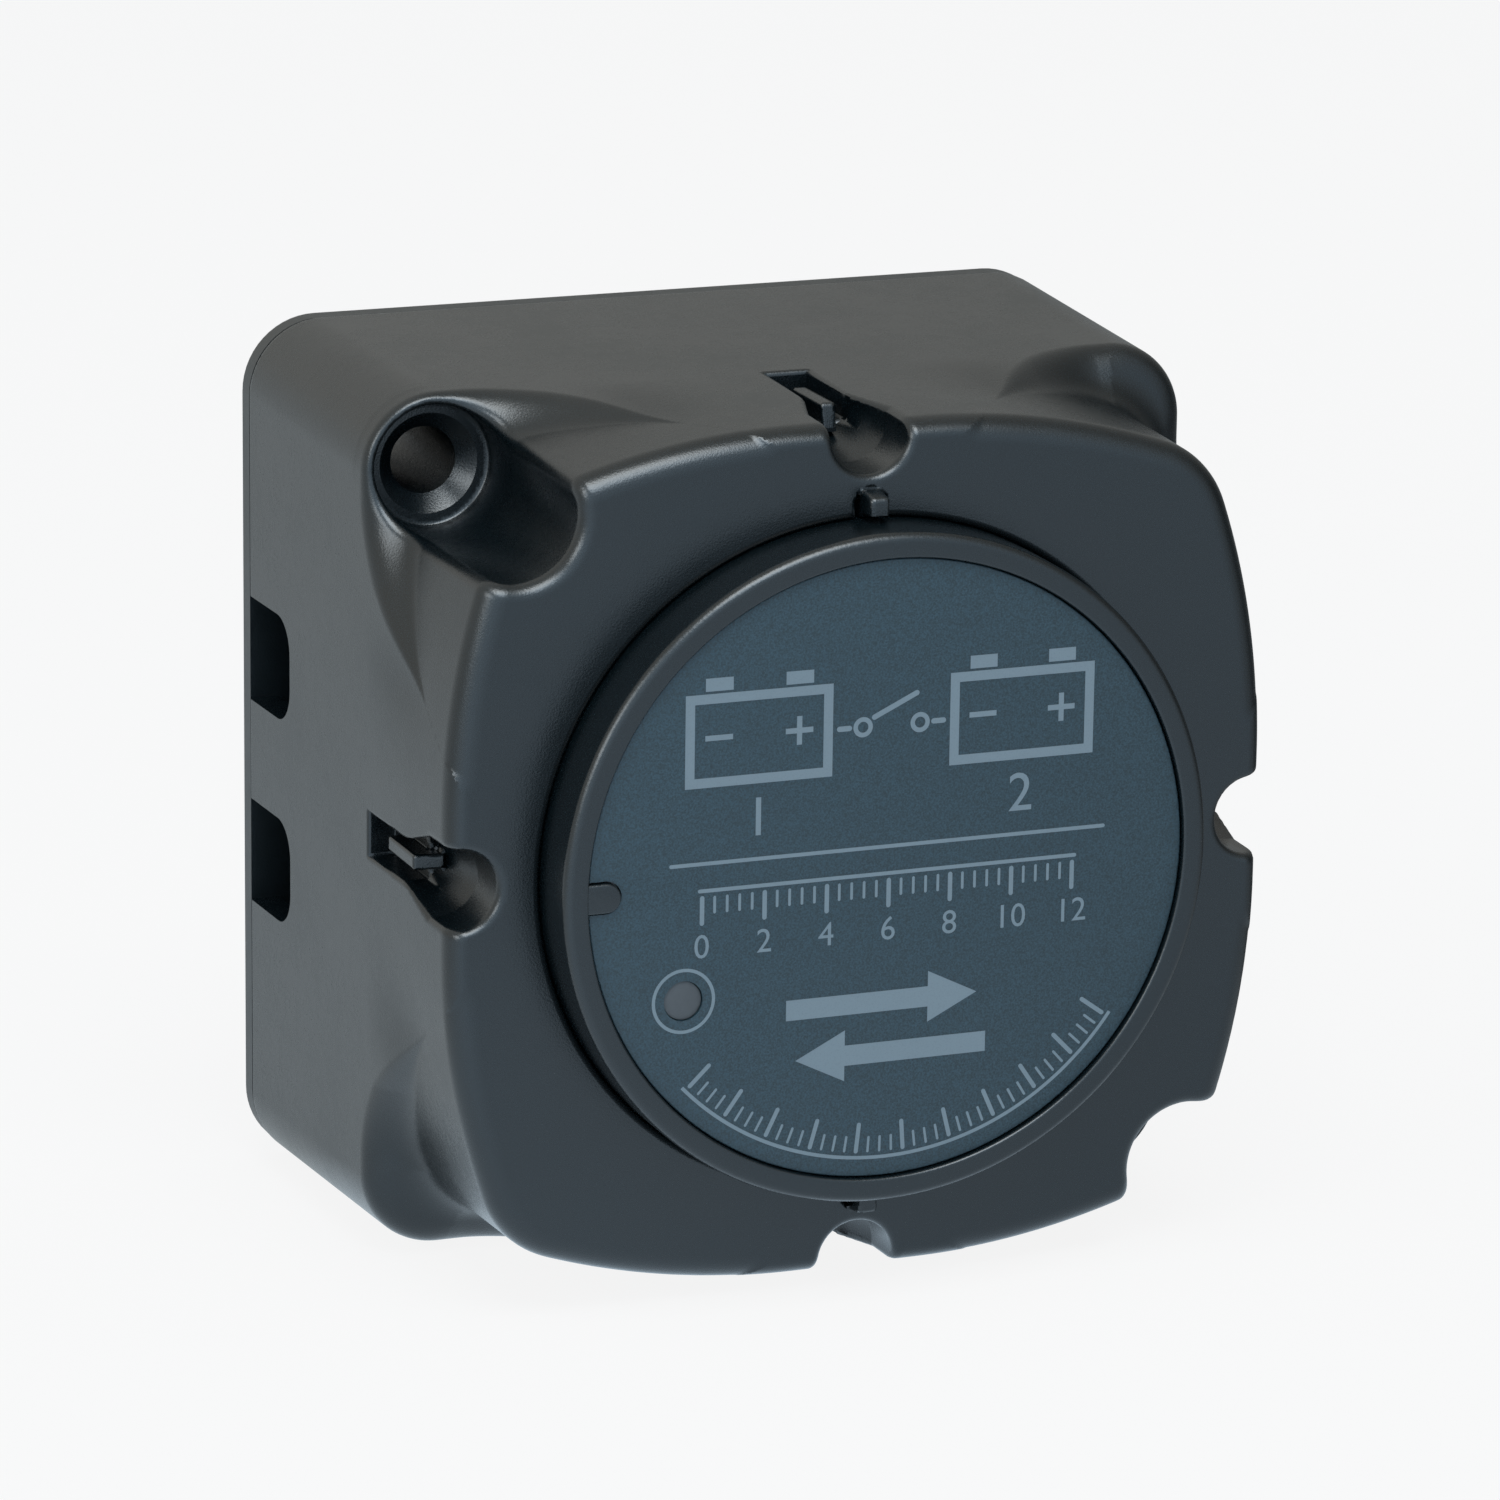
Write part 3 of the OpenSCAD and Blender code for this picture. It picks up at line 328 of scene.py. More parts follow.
@dataclass(frozen=True)
class BoardMask:
    """Circuit board under its green solder mask, with traces and copper pads."""

    name: str
    mask: Colour
    copper: Colour

    def make(self) -> Material:
        """Build the material."""
        material, bench = new_bench(self.name)
        at = bench.place()
        flat = bench.node("Mapping", {"Vector": at, "Scale": (1.0, 0.02, 1.0)})
        routes = bench.node(
            "TexBrick",
            {"Vector": bench.node("Mapping", {"Vector": flat, "Rotation": (math.pi / 2, 0, 0)}),
             "Scale": 300.0, "Mortar Size": 0.028, "Brick Width": 1.9, "Row Height": 0.6},
            out="Fac",
        )
        weave = bench.noise(at, 0.4, 2.0)
        tone = bench.mix(routes * 0.55, self.mask, toned(self.mask, 1.9))
        tone = bench.mix(bench.clamp(weave - 0.3) * 0.25, tone, toned(self.mask, 0.7))
        normal = bench.bump(routes + weave * 0.1, 0.03)
        bench.surface(Base_Color=tone, Roughness=0.32 + (weave - 0.5) * 0.1, Normal=normal)
        return material


@dataclass(frozen=True)
class CastResin:
    """Plain moulded resin or rubber for small inner pieces, with flow marks and specks."""

    name: str
    colour: Colour
    roughness: float = 0.45
    specks: float = 0.2
    scale: float = 0.5

    def make(self) -> Material:
        """Build the material."""
        material, bench = new_bench(self.name)
        at = bench.place()
        flow = bench.noise(at, 4.0 * self.scale, 4.0, 0.6)
        fine = bench.noise(at, 0.25 * self.scale, 3.0, 0.6)
        tone = bench.mix(flow, toned(self.colour, 0.85), toned(self.colour, 1.12))
        spots = bench.clamp(fine * 5.0 - 3.0)
        speck = tuple(min(1.0, c * 2.2 + 0.02) for c in self.colour)
        tone = bench.mix(spots * self.specks, tone, speck)
        rough = self.roughness + (flow - 0.5) * 0.12 + (fine - 0.5) * 0.1
        bench.surface(Base_Color=tone, Roughness=rough, Normal=bench.bump(fine, 0.01), IOR=1.5)
        return material


@dataclass(frozen=True)
class SmokedWindow:
    """Smoked light window, faintly brown, with a faint cloudy tone."""

    name: str
    colour: Colour

    def make(self) -> Material:
        """Build the material."""
        material, bench = new_bench(self.name)
        at = bench.place()
        cloud = bench.noise(at, 0.6, 3.0)
        tone = bench.mix(cloud, toned(self.colour, 0.85), toned(self.colour, 1.15))
        normal = bench.bump(bench.noise(at, 0.2, 2.0), 0.006)
        bench.surface(Base_Color=tone, Roughness=0.42 + (cloud - 0.5) * 0.1, Normal=normal, IOR=1.5)
        return material


@dataclass(frozen=True)
class Finishes:
    """All finishes of the relay by the record's slot names."""

    housing: MouldedPlastic = MouldedPlastic("housing_black", (0.0030, 0.0065, 0.0085), 0.27)
    cover: MouldedPlastic = MouldedPlastic("cover_black", (0.0045, 0.008, 0.010), 0.36)
    cap: MouldedPlastic = MouldedPlastic("cap_black", (0.0030, 0.0065, 0.0085), 0.28, 0.2)
    label: LabelFilm = LabelFilm("label_slate", (0.021, 0.044, 0.058))
    ink: PrintInk = PrintInk("label_ink", (0.26, 0.34, 0.40))
    window: SmokedWindow = SmokedWindow("window_smoke", (0.085, 0.095, 0.105))
    others: tuple = (
        BoardMask("board_green", (0.012, 0.10, 0.035), (0.75, 0.42, 0.25)),
        CastResin("led_red", (0.55, 0.03, 0.02), 0.2),
        CastResin("chip_black", (0.018, 0.018, 0.02), 0.5),
        CastResin("capacitor_yellow", (0.75, 0.45, 0.06), 0.35),
        Metal("brass", (0.80, 0.60, 0.28), 0.26, Tooling.TURNED),
        Metal("zinc_steel", (0.62, 0.64, 0.66), 0.33, Tooling.PLATED, (0.35, 0.33, 0.25)),
        Metal("tinned", (0.72, 0.72, 0.70), 0.30),
        CastResin("bobbin_cream", (0.70, 0.64, 0.50), 0.42),
        CastResin("winding_tape", (0.60, 0.22, 0.05), 0.25, 0.1),
        Metal("frame_steel", (0.50, 0.51, 0.53), 0.36, Tooling.ROLLED),
        Metal("spring_steel", (0.42, 0.42, 0.43), 0.28, Tooling.TURNED),
        CastResin("insulator_red", (0.42, 0.05, 0.03), 0.45),
        Metal("copper", (0.78, 0.36, 0.20), 0.30, Tooling.ROLLED, (0.25, 0.10, 0.05)),
        Metal("silver_contact", (0.86, 0.85, 0.82), 0.28, Tooling.TURNED, (0.25, 0.22, 0.2)),
        Metal("stud_tinned", (0.72, 0.70, 0.66), 0.28, Tooling.TURNED),
        CastResin("base_phenolic", (0.035, 0.024, 0.018), 0.5, 0.35),
        CastResin("gasket_black", (0.012, 0.012, 0.013), 0.75, 0.1),
    )

    def make(self) -> dict[str, Material]:
        """Build every material, by name."""
        firsts = (self.housing, self.cover, self.cap, self.label, self.ink, self.window)
        return {finish.name: finish.make() for finish in (*firsts, *self.others)}


# ---------------------------------------------------------------- bench work on meshes


def spot(x: float, z: float, depth: float) -> Vector:
    """Point in the frame, in metres, for a place on the face and a depth in millimetres."""
    return Vector((x * MM, -depth * MM, z * MM))


def alone(piece: Piece) -> None:
    """Select one piece only and make it active."""
    for other in bpy.context.selected_objects:
        other.select_set(False)
    bpy.context.view_layer.objects.active = piece
    piece.select_set(True)


def from_mesh(name: str, points: Sequence, faces: Sequence, edges: Sequence = ()) -> Piece:
    """Make an object from points and faces."""
    mesh = bpy.data.meshes.new(name)
    mesh.from_pydata(points, edges, faces)
    mesh.update()
    piece = bpy.data.objects.new(name, mesh)
    bpy.context.scene.collection.objects.link(piece)
    return piece


def use(piece: Piece, kind: str, **settings: object) -> None:
    """Add a modifier with its settings and apply it."""
    modifier = piece.modifiers.new(kind.title(), kind)
    for name, value in settings.items():
        setattr(modifier, name, value)
    alone(piece)
    bpy.ops.object.modifier_apply(modifier=modifier.name)


def cut(piece: Piece, tool: Piece, operation: str = "DIFFERENCE") -> None:
    """Cut a tool out of a piece, or join it, and drop the tool."""
    use(piece, "BOOLEAN", operation=operation, object=tool, solver="EXACT")
    bpy.data.objects.remove(tool, do_unlink=True)


def smooth(piece: Piece, degrees: float = 35.0) -> None:
    """Smooth shading up to an angle."""
    alone(piece)
    bpy.ops.object.shade_smooth_by_angle(angle=math.radians(degrees))


@contextmanager
def whole_mesh(piece: Piece) -> Iterator[None]:
    """Hold a piece in edit mode with its whole mesh selected."""
    alone(piece)
    bpy.ops.object.mode_set(mode="EDIT")
    bpy.ops.mesh.select_all(action="SELECT")
    yield
    bpy.ops.object.mode_set(mode="OBJECT")


def tidy_mesh(piece: Piece, gap: float = 1e-7) -> None:
    """Merge doubles and turn all faces outwards."""
    with whole_mesh(piece):
        bpy.ops.mesh.remove_doubles(threshold=gap)
        bpy.ops.mesh.normals_make_consistent(inside=False)


def tube_faces(rings: int, steps: int) -> list[tuple[int, ...]]:
    """Faces of a closed tube, ring after ring, with its two ends."""
    faces = []
    for ring in range(rings - 1):
        for n in range(steps):
            low, high, m = ring * steps, (ring + 1) * steps, (n + 1) % steps
            faces.append((low + n, low + m, high + m, high + n))
    faces.append(tuple(range(steps)))
    faces.append(tuple(reversed(range((rings - 1) * steps, rings * steps))))
    return faces


def turned(
    name: str, profile: Sequence[Point2], steps: int = 192, at: Point2 = (0.0, 0.0)
) -> Piece:
    """Spin a profile round the depth axis.

    Args:
        name: name of the piece.
        profile: radius and depth of each point, in millimetres; closed unless both
            ends lie on the axis.
        steps: segments of the turn.
        at: place of the axis on the face.

    Returns:
        The turned piece.
    """
    points = [spot(r, 0.0, d) for r, d in profile]
    closed = not (profile[0][0] == 0 and profile[-1][0] == 0)
    edges = [(i, i + 1) for i in range(len(points) - 1)]
    if closed:
        edges.append((len(points) - 1, 0))
    piece = from_mesh(name, points, [], edges)
    with whole_mesh(piece):
        bpy.ops.mesh.spin(steps=steps, angle=math.tau, center=(0, 0, 0), axis=(0, 1, 0))
    tidy_mesh(piece, 1e-6)
    piece.data.transform(Matrix.Translation(spot(at[0], at[1], 0.0)))
    return piece


def pressed(name: str, outline: Sequence[Point2], low: float, high: float) -> Piece:
    """Raise an outline on the face from one depth to another."""
    piece = from_mesh(name, [spot(x, z, low) for x, z in outline], [list(range(len(outline)))])
    move = {"value": (0, -(high - low) * MM, 0)}
    with whole_mesh(piece):
        bpy.ops.mesh.extrude_region_move(TRANSFORM_OT_translate=move)
    tidy_mesh(piece)
    return piece


def joined(name: str, pieces: Sequence[Piece]) -> Piece:
    """Join pieces into one object."""
    alone(pieces[0])
    for piece in pieces[1:]:
        piece.select_set(True)
    if len(pieces) > 1:
        bpy.ops.object.join()
    pieces[0].name = name
    pieces[0].data.name = name
    return pieces[0]


def arc(cx: float, cz: float, r: float, start: float, end: float, steps: int) -> list[Point2]:
    """Points of an arc between two angles in degrees, both ends in."""
    angles = np.radians(np.linspace(start, end, steps + 1))
    return [(cx + r * math.cos(a), cz + r * math.sin(a)) for a in angles]


def hand_over(
    piece: Piece,
    material: Material,
    body: str = "body",
    stands_for: Sequence[str] = (),
) -> None:
    """Dress a finished piece and set it on its body.

    Args:
        piece: the piece, with its place in its mesh.
        material: its finish.
        body: the body that it rides on.
        stands_for: CAD nodes that it replaces.
    """
    piece.data.materials.clear()
    piece.data.materials.append(material)
    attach(piece, body)
    if stands_for:
        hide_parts(*stands_for)
    LOG.info("%s: %d faces", piece.name, len(piece.data.polygons))


# ---------------------------------------------------------------- housing


def soft_step(t: Array) -> Array:
    """Smooth step from 0 to 1."""
    t = np.clip(t, 0, 1)
    return t * t * (3 - 2 * t)


def round_cut(a: Array, b: Array, r: Array | float) -> Array:
    """Meeting of two fields with its edge rounded to radius r."""
    return np.minimum(-r, np.maximum(a, b)) + np.hypot(np.maximum(r + a, 0), np.maximum(r + b, 0))


def round_join(a: Array, b: Array, r: Array | float) -> Array:
    """Union of two fields with its corner filled to radius r."""
    return np.maximum(r, np.minimum(a, b)) - np.hypot(np.maximum(r - a, 0), np.maximum(r - b, 0))


def to_frame(p: Array) -> Array:
    """Rows of x, z and depth as points of the frame."""
    return np.stack([p[:, 0], -p[:, 2], p[:, 1]], 1)


def to_skin(p: Array) -> Array:
    """Points of the frame as rows of x, z and depth."""
    return np.stack([p[:, 0], p[:, 2], -p[:, 1]], 1)


def vertex_rows(mesh: bpy.types.Mesh) -> Array:
    """Places of a mesh's vertices, one row each."""
    places = np.empty(len(mesh.vertices) * 3)
    mesh.vertices.foreach_get("co", places)
    return places.reshape(-1, 3)


@dataclass
class HousingSkin:
    """Outer skin of the moulded housing as one smooth field, with all its fillets."""

    half: float = 34.5
    draft: float = 0.03
    corner_r: float = 6.0
    depth: float = 45.8
    front_round: float = 2.0
    flat: float = 5.0
    side_r: float = 60.0
    front_corner_r: float = 8.0
    lobe_top: float = 28.7
    lobe_reach: float = 26.0
    lobe_run: float = 9.5
    lobe_climb: float = 16.0
    lobe_power: float = 1.7
    lobe_fade: Point2 = (12.0, 19.0)
    lobe_fade_d: Point2 = (28.0, 39.5)
    ridge_r: float = 2.0
    valley_r: float = 4.0
    rear: float = 1.7
    rear_round: float = 0.35
    well_pos: float = 27.8
    well_r: float = 4.9
    well_floor: float = 25.4
    sink_r: float = 3.9
    hole_r: float = 2.6
    lip_r: float = 1.2
    groove_axis: float = 32.4
    groove_r: float = 3.1
    groove_rear: float = 36.0
    groove_neck: float = 41.0
    slot_half: float = 1.75
    slot_rear: float = 28.4
    slot_floor: float = 31.4
    rib_half: float = 0.6
    rib_top: float = 33.0
    rib_rear: float = 31.2
    rib_front: float = 37.4
    tab_half: float = 0.78
    tab_end: float = 27.95
    tab_top: float = 47.7
    pocket_half: float = 1.25
    pocket_end: float = 28.35
    pocket_floor: float = 44.4
    gap_least: float = 0.02
    ridge_least: float = 0.25
    groove_lips: Point2 = (0.3, 0.7)
    slot_root: float = 0.35
    well_foot: float = 0.4
    rib_edge: float = 0.22
    rib_nose: float = 0.2
    rib_lean: float = 0.2
    rib_root: float = 0.6
    tab_inner: float = 24.0
    tab_lean: float = 0.15
    tab_edge: float = 0.25
    tab_tip: float = 0.3
    tab_foot: float = 0.15
    tab_root: float = 0.4
    pocket_edge: float = 0.2
    net_low: tuple = (-35.6, -35.6, 0.3)
    net_span: tuple = (71.2, 71.2, 47.8)
    probe: float = 0.01
    stride: float = 0.3

    def square(self, x: Array, z: Array, d: Array) -> Array:
        """Distance to the drafted rounded square of the rear block."""
        k = self.half - self.draft * d - self.corner_r
        qx, qz = np.abs(x) - k, np.abs(z) - k
        outside = np.hypot(np.maximum(qx, 0), np.maximum(qz, 0))
        return outside + np.minimum(np.maximum(qx, qz), 0) - self.corner_r

    def bowed(self, x: Array, z: Array, d: Array) -> Array:
        """Distance to the bowed outline of the front part."""
        front_half = self.half - self.draft * self.depth
        scale = (self.half - self.draft * d) / front_half
        ax, az = np.abs(x) / scale, np.abs(z) / scale
        u, v = np.maximum(ax, az), np.minimum(ax, az)
        cx = front_half - self.side_r
        gap = self.side_r - self.front_corner_r
        cc = (cx + self.flat + math.sqrt(2 * gap * gap - (cx - self.flat) ** 2)) / 2
        turn = math.atan2(cc - self.flat, cc - cx)
        side = np.hypot(u - cx, v - self.flat) - self.side_r
        corner = np.hypot(u - cc, v - cc) - self.front_corner_r
        at_corner = (v - self.flat) * math.cos(turn) > (u - cx) * math.sin(turn)
        out = np.where(at_corner, corner, side)
        return np.where(v < self.flat, u - front_half, out) * scale

    def lobes(self, x: Array, z: Array, d: Array) -> Array:
        """Depth field of the scooped corner lobes' upper faces."""
        s = np.minimum(np.abs(x), np.abs(z))
        t = np.maximum(self.lobe_reach - s, 0) / (self.lobe_reach - self.lobe_run)
        rise = self.lobe_climb * t**self.lobe_power
        steep = self.lobe_climb * self.lobe_power * t ** (self.lobe_power - 1)
        steep = steep / (self.lobe_reach - self.lobe_run)
        return (d - self.lobe_top - rise) / np.sqrt(1 + steep**2)

    def grooves(self, u: Array, v: Array, d: Array) -> Array:
        """Field of the link grooves and their latch slots, on folded sides."""
        neck = np.clip((d - self.groove_rear) / (self.groove_neck - self.groove_rear), 0, 1)
        r = self.slot_half + (self.groove_r - self.slot_half) * neck
        bowl = np.maximum(np.hypot(u - self.groove_axis, v) - r, self.groove_rear - d)
        wide = np.maximum(np.abs(v) - self.slot_half, self.slot_rear - d)
        return round_join(bowl, np.maximum(wide, self.slot_floor - u), self.slot_root)

    def field(self, p: Array) -> Array:
        """Signed field of the skin.

        Args:
            p: points as x, z and depth in millimetres, one row each.

        Returns:
            Value at each point, below zero inside.
        """
        x, z, d = p[:, 0], p[:, 1], p[:, 2]
        square, bowed = self.square(x, z, d), self.bowed(x, z, d)
        ax, az = np.abs(x), np.abs(z)
        far, near = self.lobe_fade[1], self.lobe_fade[0]
        fade = soft_step((far - np.minimum(ax, az)) / (far - near))
        rear, fore = self.lobe_fade_d
        fade = fade * soft_step((d - rear) / (fore - rear))
        square = square + (bowed - square) * fade
        gap = np.clip(bowed - square, self.gap_least, None)
        ridge = np.minimum(self.ridge_r, self.ridge_least + gap)
        block = round_cut(square, self.lobes(x, z, d), ridge)
        body = round_join(block, bowed, np.minimum(self.valley_r, gap))
        body = round_cut(body, d - self.depth, self.front_round)
        body = round_cut(body, self.rear - d, self.rear_round)
        body = round_cut(body, -self.wells(x, z, d), self.lip_r)
        u, v = np.maximum(ax, az), np.minimum(ax, az)
        lip = np.interp(d, [self.groove_rear, self.groove_neck], self.groove_lips).astype(d.dtype)
        body = round_cut(body, -self.grooves(u, v, d), lip)
        body = np.minimum(body, self.ribs(u, v, d))
        body = round_cut(body, -self.pockets(ax, az, d), self.pocket_edge)
        return round_join(body, self.tabs(ax, az, d), self.tab_foot)

    def wells(self, x: Array, z: Array, d: Array) -> Array:
        """Field of the two mounting wells."""
        across, along = np.abs(x - z) / math.sqrt(2), (x + z) / math.sqrt(2)
        r = np.hypot(across - self.well_pos * math.sqrt(2), along)
        return round_cut(r - self.well_r, self.well_floor - d, self.well_foot)

    def ribs(self, u: Array, v: Array, d: Array) -> Array:
        """Field of the latch ribs standing in the slots."""
        slope = d - self.rib_front + (u - self.slot_floor) * self.rib_lean
        slope = slope / math.sqrt(1 + self.rib_lean**2)
        ends = np.maximum(self.rib_rear - d, slope)
        flat = round_cut(np.abs(v) - self.rib_half, u - self.rib_top, self.rib_edge)
        body = round_cut(flat, ends, self.rib_nose)
        return np.maximum(body, self.slot_floor - self.rib_root - u)

    def tabs(self, ax: Array, az: Array, d: Array) -> Array:
        """Field of the key tabs above and below the cap, their outer ends on a slight slope."""
        end = az - self.tab_end - (self.tab_top - d) * self.tab_lean
        end = end / math.sqrt(1 + self.tab_lean**2)
        bar = round_cut(ax - self.tab_half, end, self.tab_edge)
        bar = round_cut(np.maximum(bar, self.tab_inner - az), d - self.tab_top, self.tab_tip)
        return np.maximum(bar, self.pocket_floor - self.tab_root - d)

    def pockets(self, ax: Array, az: Array, d: Array) -> Array:
        """Field of the round-topped pockets that the key tabs stand in."""
        beyond = np.maximum(az - self.pocket_end + self.pocket_half, 0)
        bar = np.maximum(np.hypot(ax, beyond) - self.pocket_half, self.tab_inner - az)
        return np.maximum(bar, self.pocket_floor - d)

    def slope(self, p: Array) -> Array:
        """Gradient of the field by central differences."""
        out = np.empty_like(p)
        for axis in range(3):
            step = np.zeros(3, p.dtype)
            step[axis] = self.probe
            out[:, axis] = (self.field(p + step) - self.field(p - step)) / (2 * self.probe)
        return out

    def settle(self, p: Array, turns: int = 3) -> Array:
        """Move points onto the skin."""
        for _ in range(turns):
            g = self.slope(p)
            size = np.maximum((g * g).sum(1), 0.05)
            move = self.field(p)[:, None] * g / size[:, None]
            length = np.linalg.norm(move, axis=1, keepdims=True)
            p = p - move * np.minimum(1, self.stride / np.maximum(length, 1e-9))
        return p

    def net(self, pitch: float) -> tuple[Array, Array]:
        """Lay a net of four-sided faces on the skin.

        Args:
            pitch: size of the grid's cells in millimetres.

        Returns:
            Points in millimetres and faces by point.
        """
        low = np.array(self.net_low)
        count = [2 * math.ceil(span / pitch / 2) + 1 for span in self.net_span]
        axes = [low[i] + pitch * np.arange(count[i]) for i in range(3)]
        coarse = np.stack(np.meshgrid(*[a[::2] for a in axes], indexing="ij"), -1).reshape(-1, 3)
        rough = self.field(coarse).reshape([len(a[::2]) for a in axes])
        values = rough.repeat(2, 0).repeat(2, 1).repeat(2, 2)
        values = values[: count[0], : count[1], : count[2]].copy()
        near = np.argwhere(np.abs(values) < 2.5 * pitch * math.sqrt(3))
        values[tuple(near.T)] = self.field(low + pitch * near)
        inside = values < 0
        shape = [c - 1 for c in count]
        total = np.zeros(shape, np.int8)
        corners = [(i, j, k) for i in (0, 1) for j in (0, 1) for k in (0, 1)]
        for i, j, k in corners:
            total += inside[i : i + shape[0], j : j + shape[1], k : k + shape[2]]
        cells = np.argwhere((total > 0) & (total < 8))
        ids = np.full(shape, -1, np.int32)
        ids[tuple(cells.T)] = np.arange(len(cells))
        f = {c: values[tuple((cells + c).T)] for c in corners}
        sums, hits = np.zeros((len(cells), 3)), np.zeros(len(cells))
        for a in corners:
            for axis in range(3):
                if a[axis]:
                    continue
                b = tuple(1 if n == axis else a[n] for n in range(3))
                crossed = (f[a] < 0) != (f[b] < 0)
                t = np.where(crossed, f[a] / np.where(crossed, f[a] - f[b], 1), 0)
                sums += crossed[:, None] * (np.array(a) + t[:, None] * (np.array(b) - np.array(a)))
                hits += crossed
        points = low + pitch * (cells + sums / hits[:, None])
        faces = []
        for axis in range(3):
            i, j = (axis + 1) % 3, (axis + 2) % 3
            first = [slice(1, -1)] * 3
            first[axis] = slice(0, -1)
            second = list(first)
            second[axis] = slice(1, None)
            a, b = inside[tuple(first)], inside[tuple(second)]
            edge = np.argwhere(a != b)
            down = a[tuple(edge.T)]
            start = edge + 1
            start[:, axis] -= 1
            around = []
            for di, dj in ((0, 0), (1, 0), (1, 1), (0, 1)):
                cell = start.copy()
                cell[:, i] -= di
                cell[:, j] -= dj
                around.append(ids[tuple(cell.T)])
            quad = np.stack(around, 1)
            quad[~down] = quad[~down][:, ::-1]
            faces.append(quad)
        return points, np.concatenate(faces)


@dataclass
class Housing:
    """The moulded housing: smooth skin outside, bay, front cavity and bores inside."""

    skin: HousingSkin = field(default_factory=HousingSkin)
    bay_half: float = 31.895
    bay_r: float = 3.8
    ledge: float = 20.8
    inner_half: float = 30.495
    shelf: float = 24.8
    front_r: float = 27.7
    wall_front: float = 43.6
    mouth_r: float = 26.03
    mouth_round: float = 0.6
    jacket_r: float = 6.5
    boss_pos: float = 27.2
    boss_r: float = 3.3
    post_pos: float = 26.8
    post_r: float = 3.1
    cutout_w: float = 8.4
    cutout_d: float = 11.0
    cutout_z: float = 8.25
    cutout_r: float = 2.8
    bore_r: float = 1.55
    boss_bore: Point2 = (-1, 10.7)
    post_bore: Point2 = (15, 24.0)
    faces: int = 150_000
    pitch: float = 0.3
    pitch_quick: float = 0.55
    near_skin: float = 0.006

    def ray(self, angles: Array, half: float, r: float, rings: Sequence) -> Array:
        """Distance from the centre to a rounded square that keeps round some circles."""
        low, high = np.zeros_like(angles), np.full_like(angles, 60.0)
        for _ in range(40):
            mid = (low + high) / 2
            qx = np.abs(mid * np.cos(angles)) - half + r
            qz = np.abs(mid * np.sin(angles)) - half + r
            f = np.hypot(np.maximum(qx, 0), np.maximum(qz, 0))
            f = f + np.minimum(np.maximum(qx, qz), 0) - r
            low, high = np.where(f < 0, mid, low), np.where(f < 0, high, mid)
        out = low
        for cx, cz, cr in rings:
            along = cx * np.cos(angles) + cz * np.sin(angles)
            rest = along**2 - cx * cx - cz * cz + cr * cr
            hit = np.where((rest > 0) & (along > 0), along - np.sqrt(np.maximum(rest, 0)), 1e9)
            out = np.minimum(out, hit)
        return out

    def hollow(self, columns: int = 288) -> Piece:
        """Tool for the bay, the front cavity and the cap's mouth."""
        angles = np.linspace(0, math.tau, columns, endpoint=False)
        p, b, s = self.skin.well_pos, self.boss_pos, self.post_pos
        wells = [(-p, p, self.jacket_r), (p, -p, self.jacket_r)]
        bosses = [(b, b, self.boss_r), (-b, -b, self.boss_r)]
        posts = [(x, z, self.post_r) for x, z in ((s, 0), (-s, 0), (0, s), (0, -s))]
        bay = self.ray(angles, self.bay_half, self.bay_r, wells + bosses)
        inner = self.ray(angles, self.inner_half, self.bay_r, wells + bosses + posts)
        flat = np.ones_like(angles)
        top = self.skin.depth
        narrow = np.minimum(bay, inner) - 0.001
        levels = [(-3.0, bay), (self.ledge, bay), (self.ledge, narrow), (self.shelf, narrow)]
        levels += [(self.shelf, flat * self.front_r), (self.wall_front, flat * self.front_r)]
        levels += [(self.wall_front, flat * self.mouth_r)]
        for turn in np.radians(np.linspace(0, 90, 7)):
            r = self.mouth_r + self.mouth_round * (1 - math.cos(turn))
            levels.append((top - self.mouth_round * (1 - math.sin(turn)), flat * r))
        levels.append((top + 3.0, flat * (self.mouth_r + self.mouth_round)))
        points = []
        for d, row in levels:
            points += [(r * math.cos(a), -d, r * math.sin(a)) for a, r in zip(angles, row)]
        tool = from_mesh("hollow_tool", points, tube_faces(len(levels), columns))
        tidy_mesh(tool, 1e-5)
        return tool

    def round_bars(self, bars: Sequence[tuple[float, ...]]) -> Piece:
        """Tool of plain round bars, each as x, z, radius, low and high depth."""
        made = []
        for x, z, r, low, high in bars:
            bpy.ops.mesh.primitive_cylinder_add(
                vertices=64,
                radius=r,
                depth=high - low,
                location=(x, -(low + high) / 2, z),
                rotation=(math.pi / 2, 0, 0),
            )
            made.append(bpy.context.active_object)
        tool = joined("bar_tool", made)
        alone(tool)
        bpy.ops.object.transform_apply(location=True, rotation=True, scale=True)
        return tool

    def sink(self, x: float, z: float) -> Piece:
        """Tool for a mounting screw's bore and countersink."""
        hole, wide, floor = self.skin.hole_r, self.skin.sink_r, self.skin.well_floor
        over = floor + 0.6
        profile = [(0, -1), (hole, -1), (hole, floor - wide + hole)]
        profile += [(wide, floor), (wide, over), (0, over)]
        tool = turned("sink_tool", profile, 96, (x, z))
        tool.data.transform(Matrix.Scale(1 / MM, 4))
        return tool

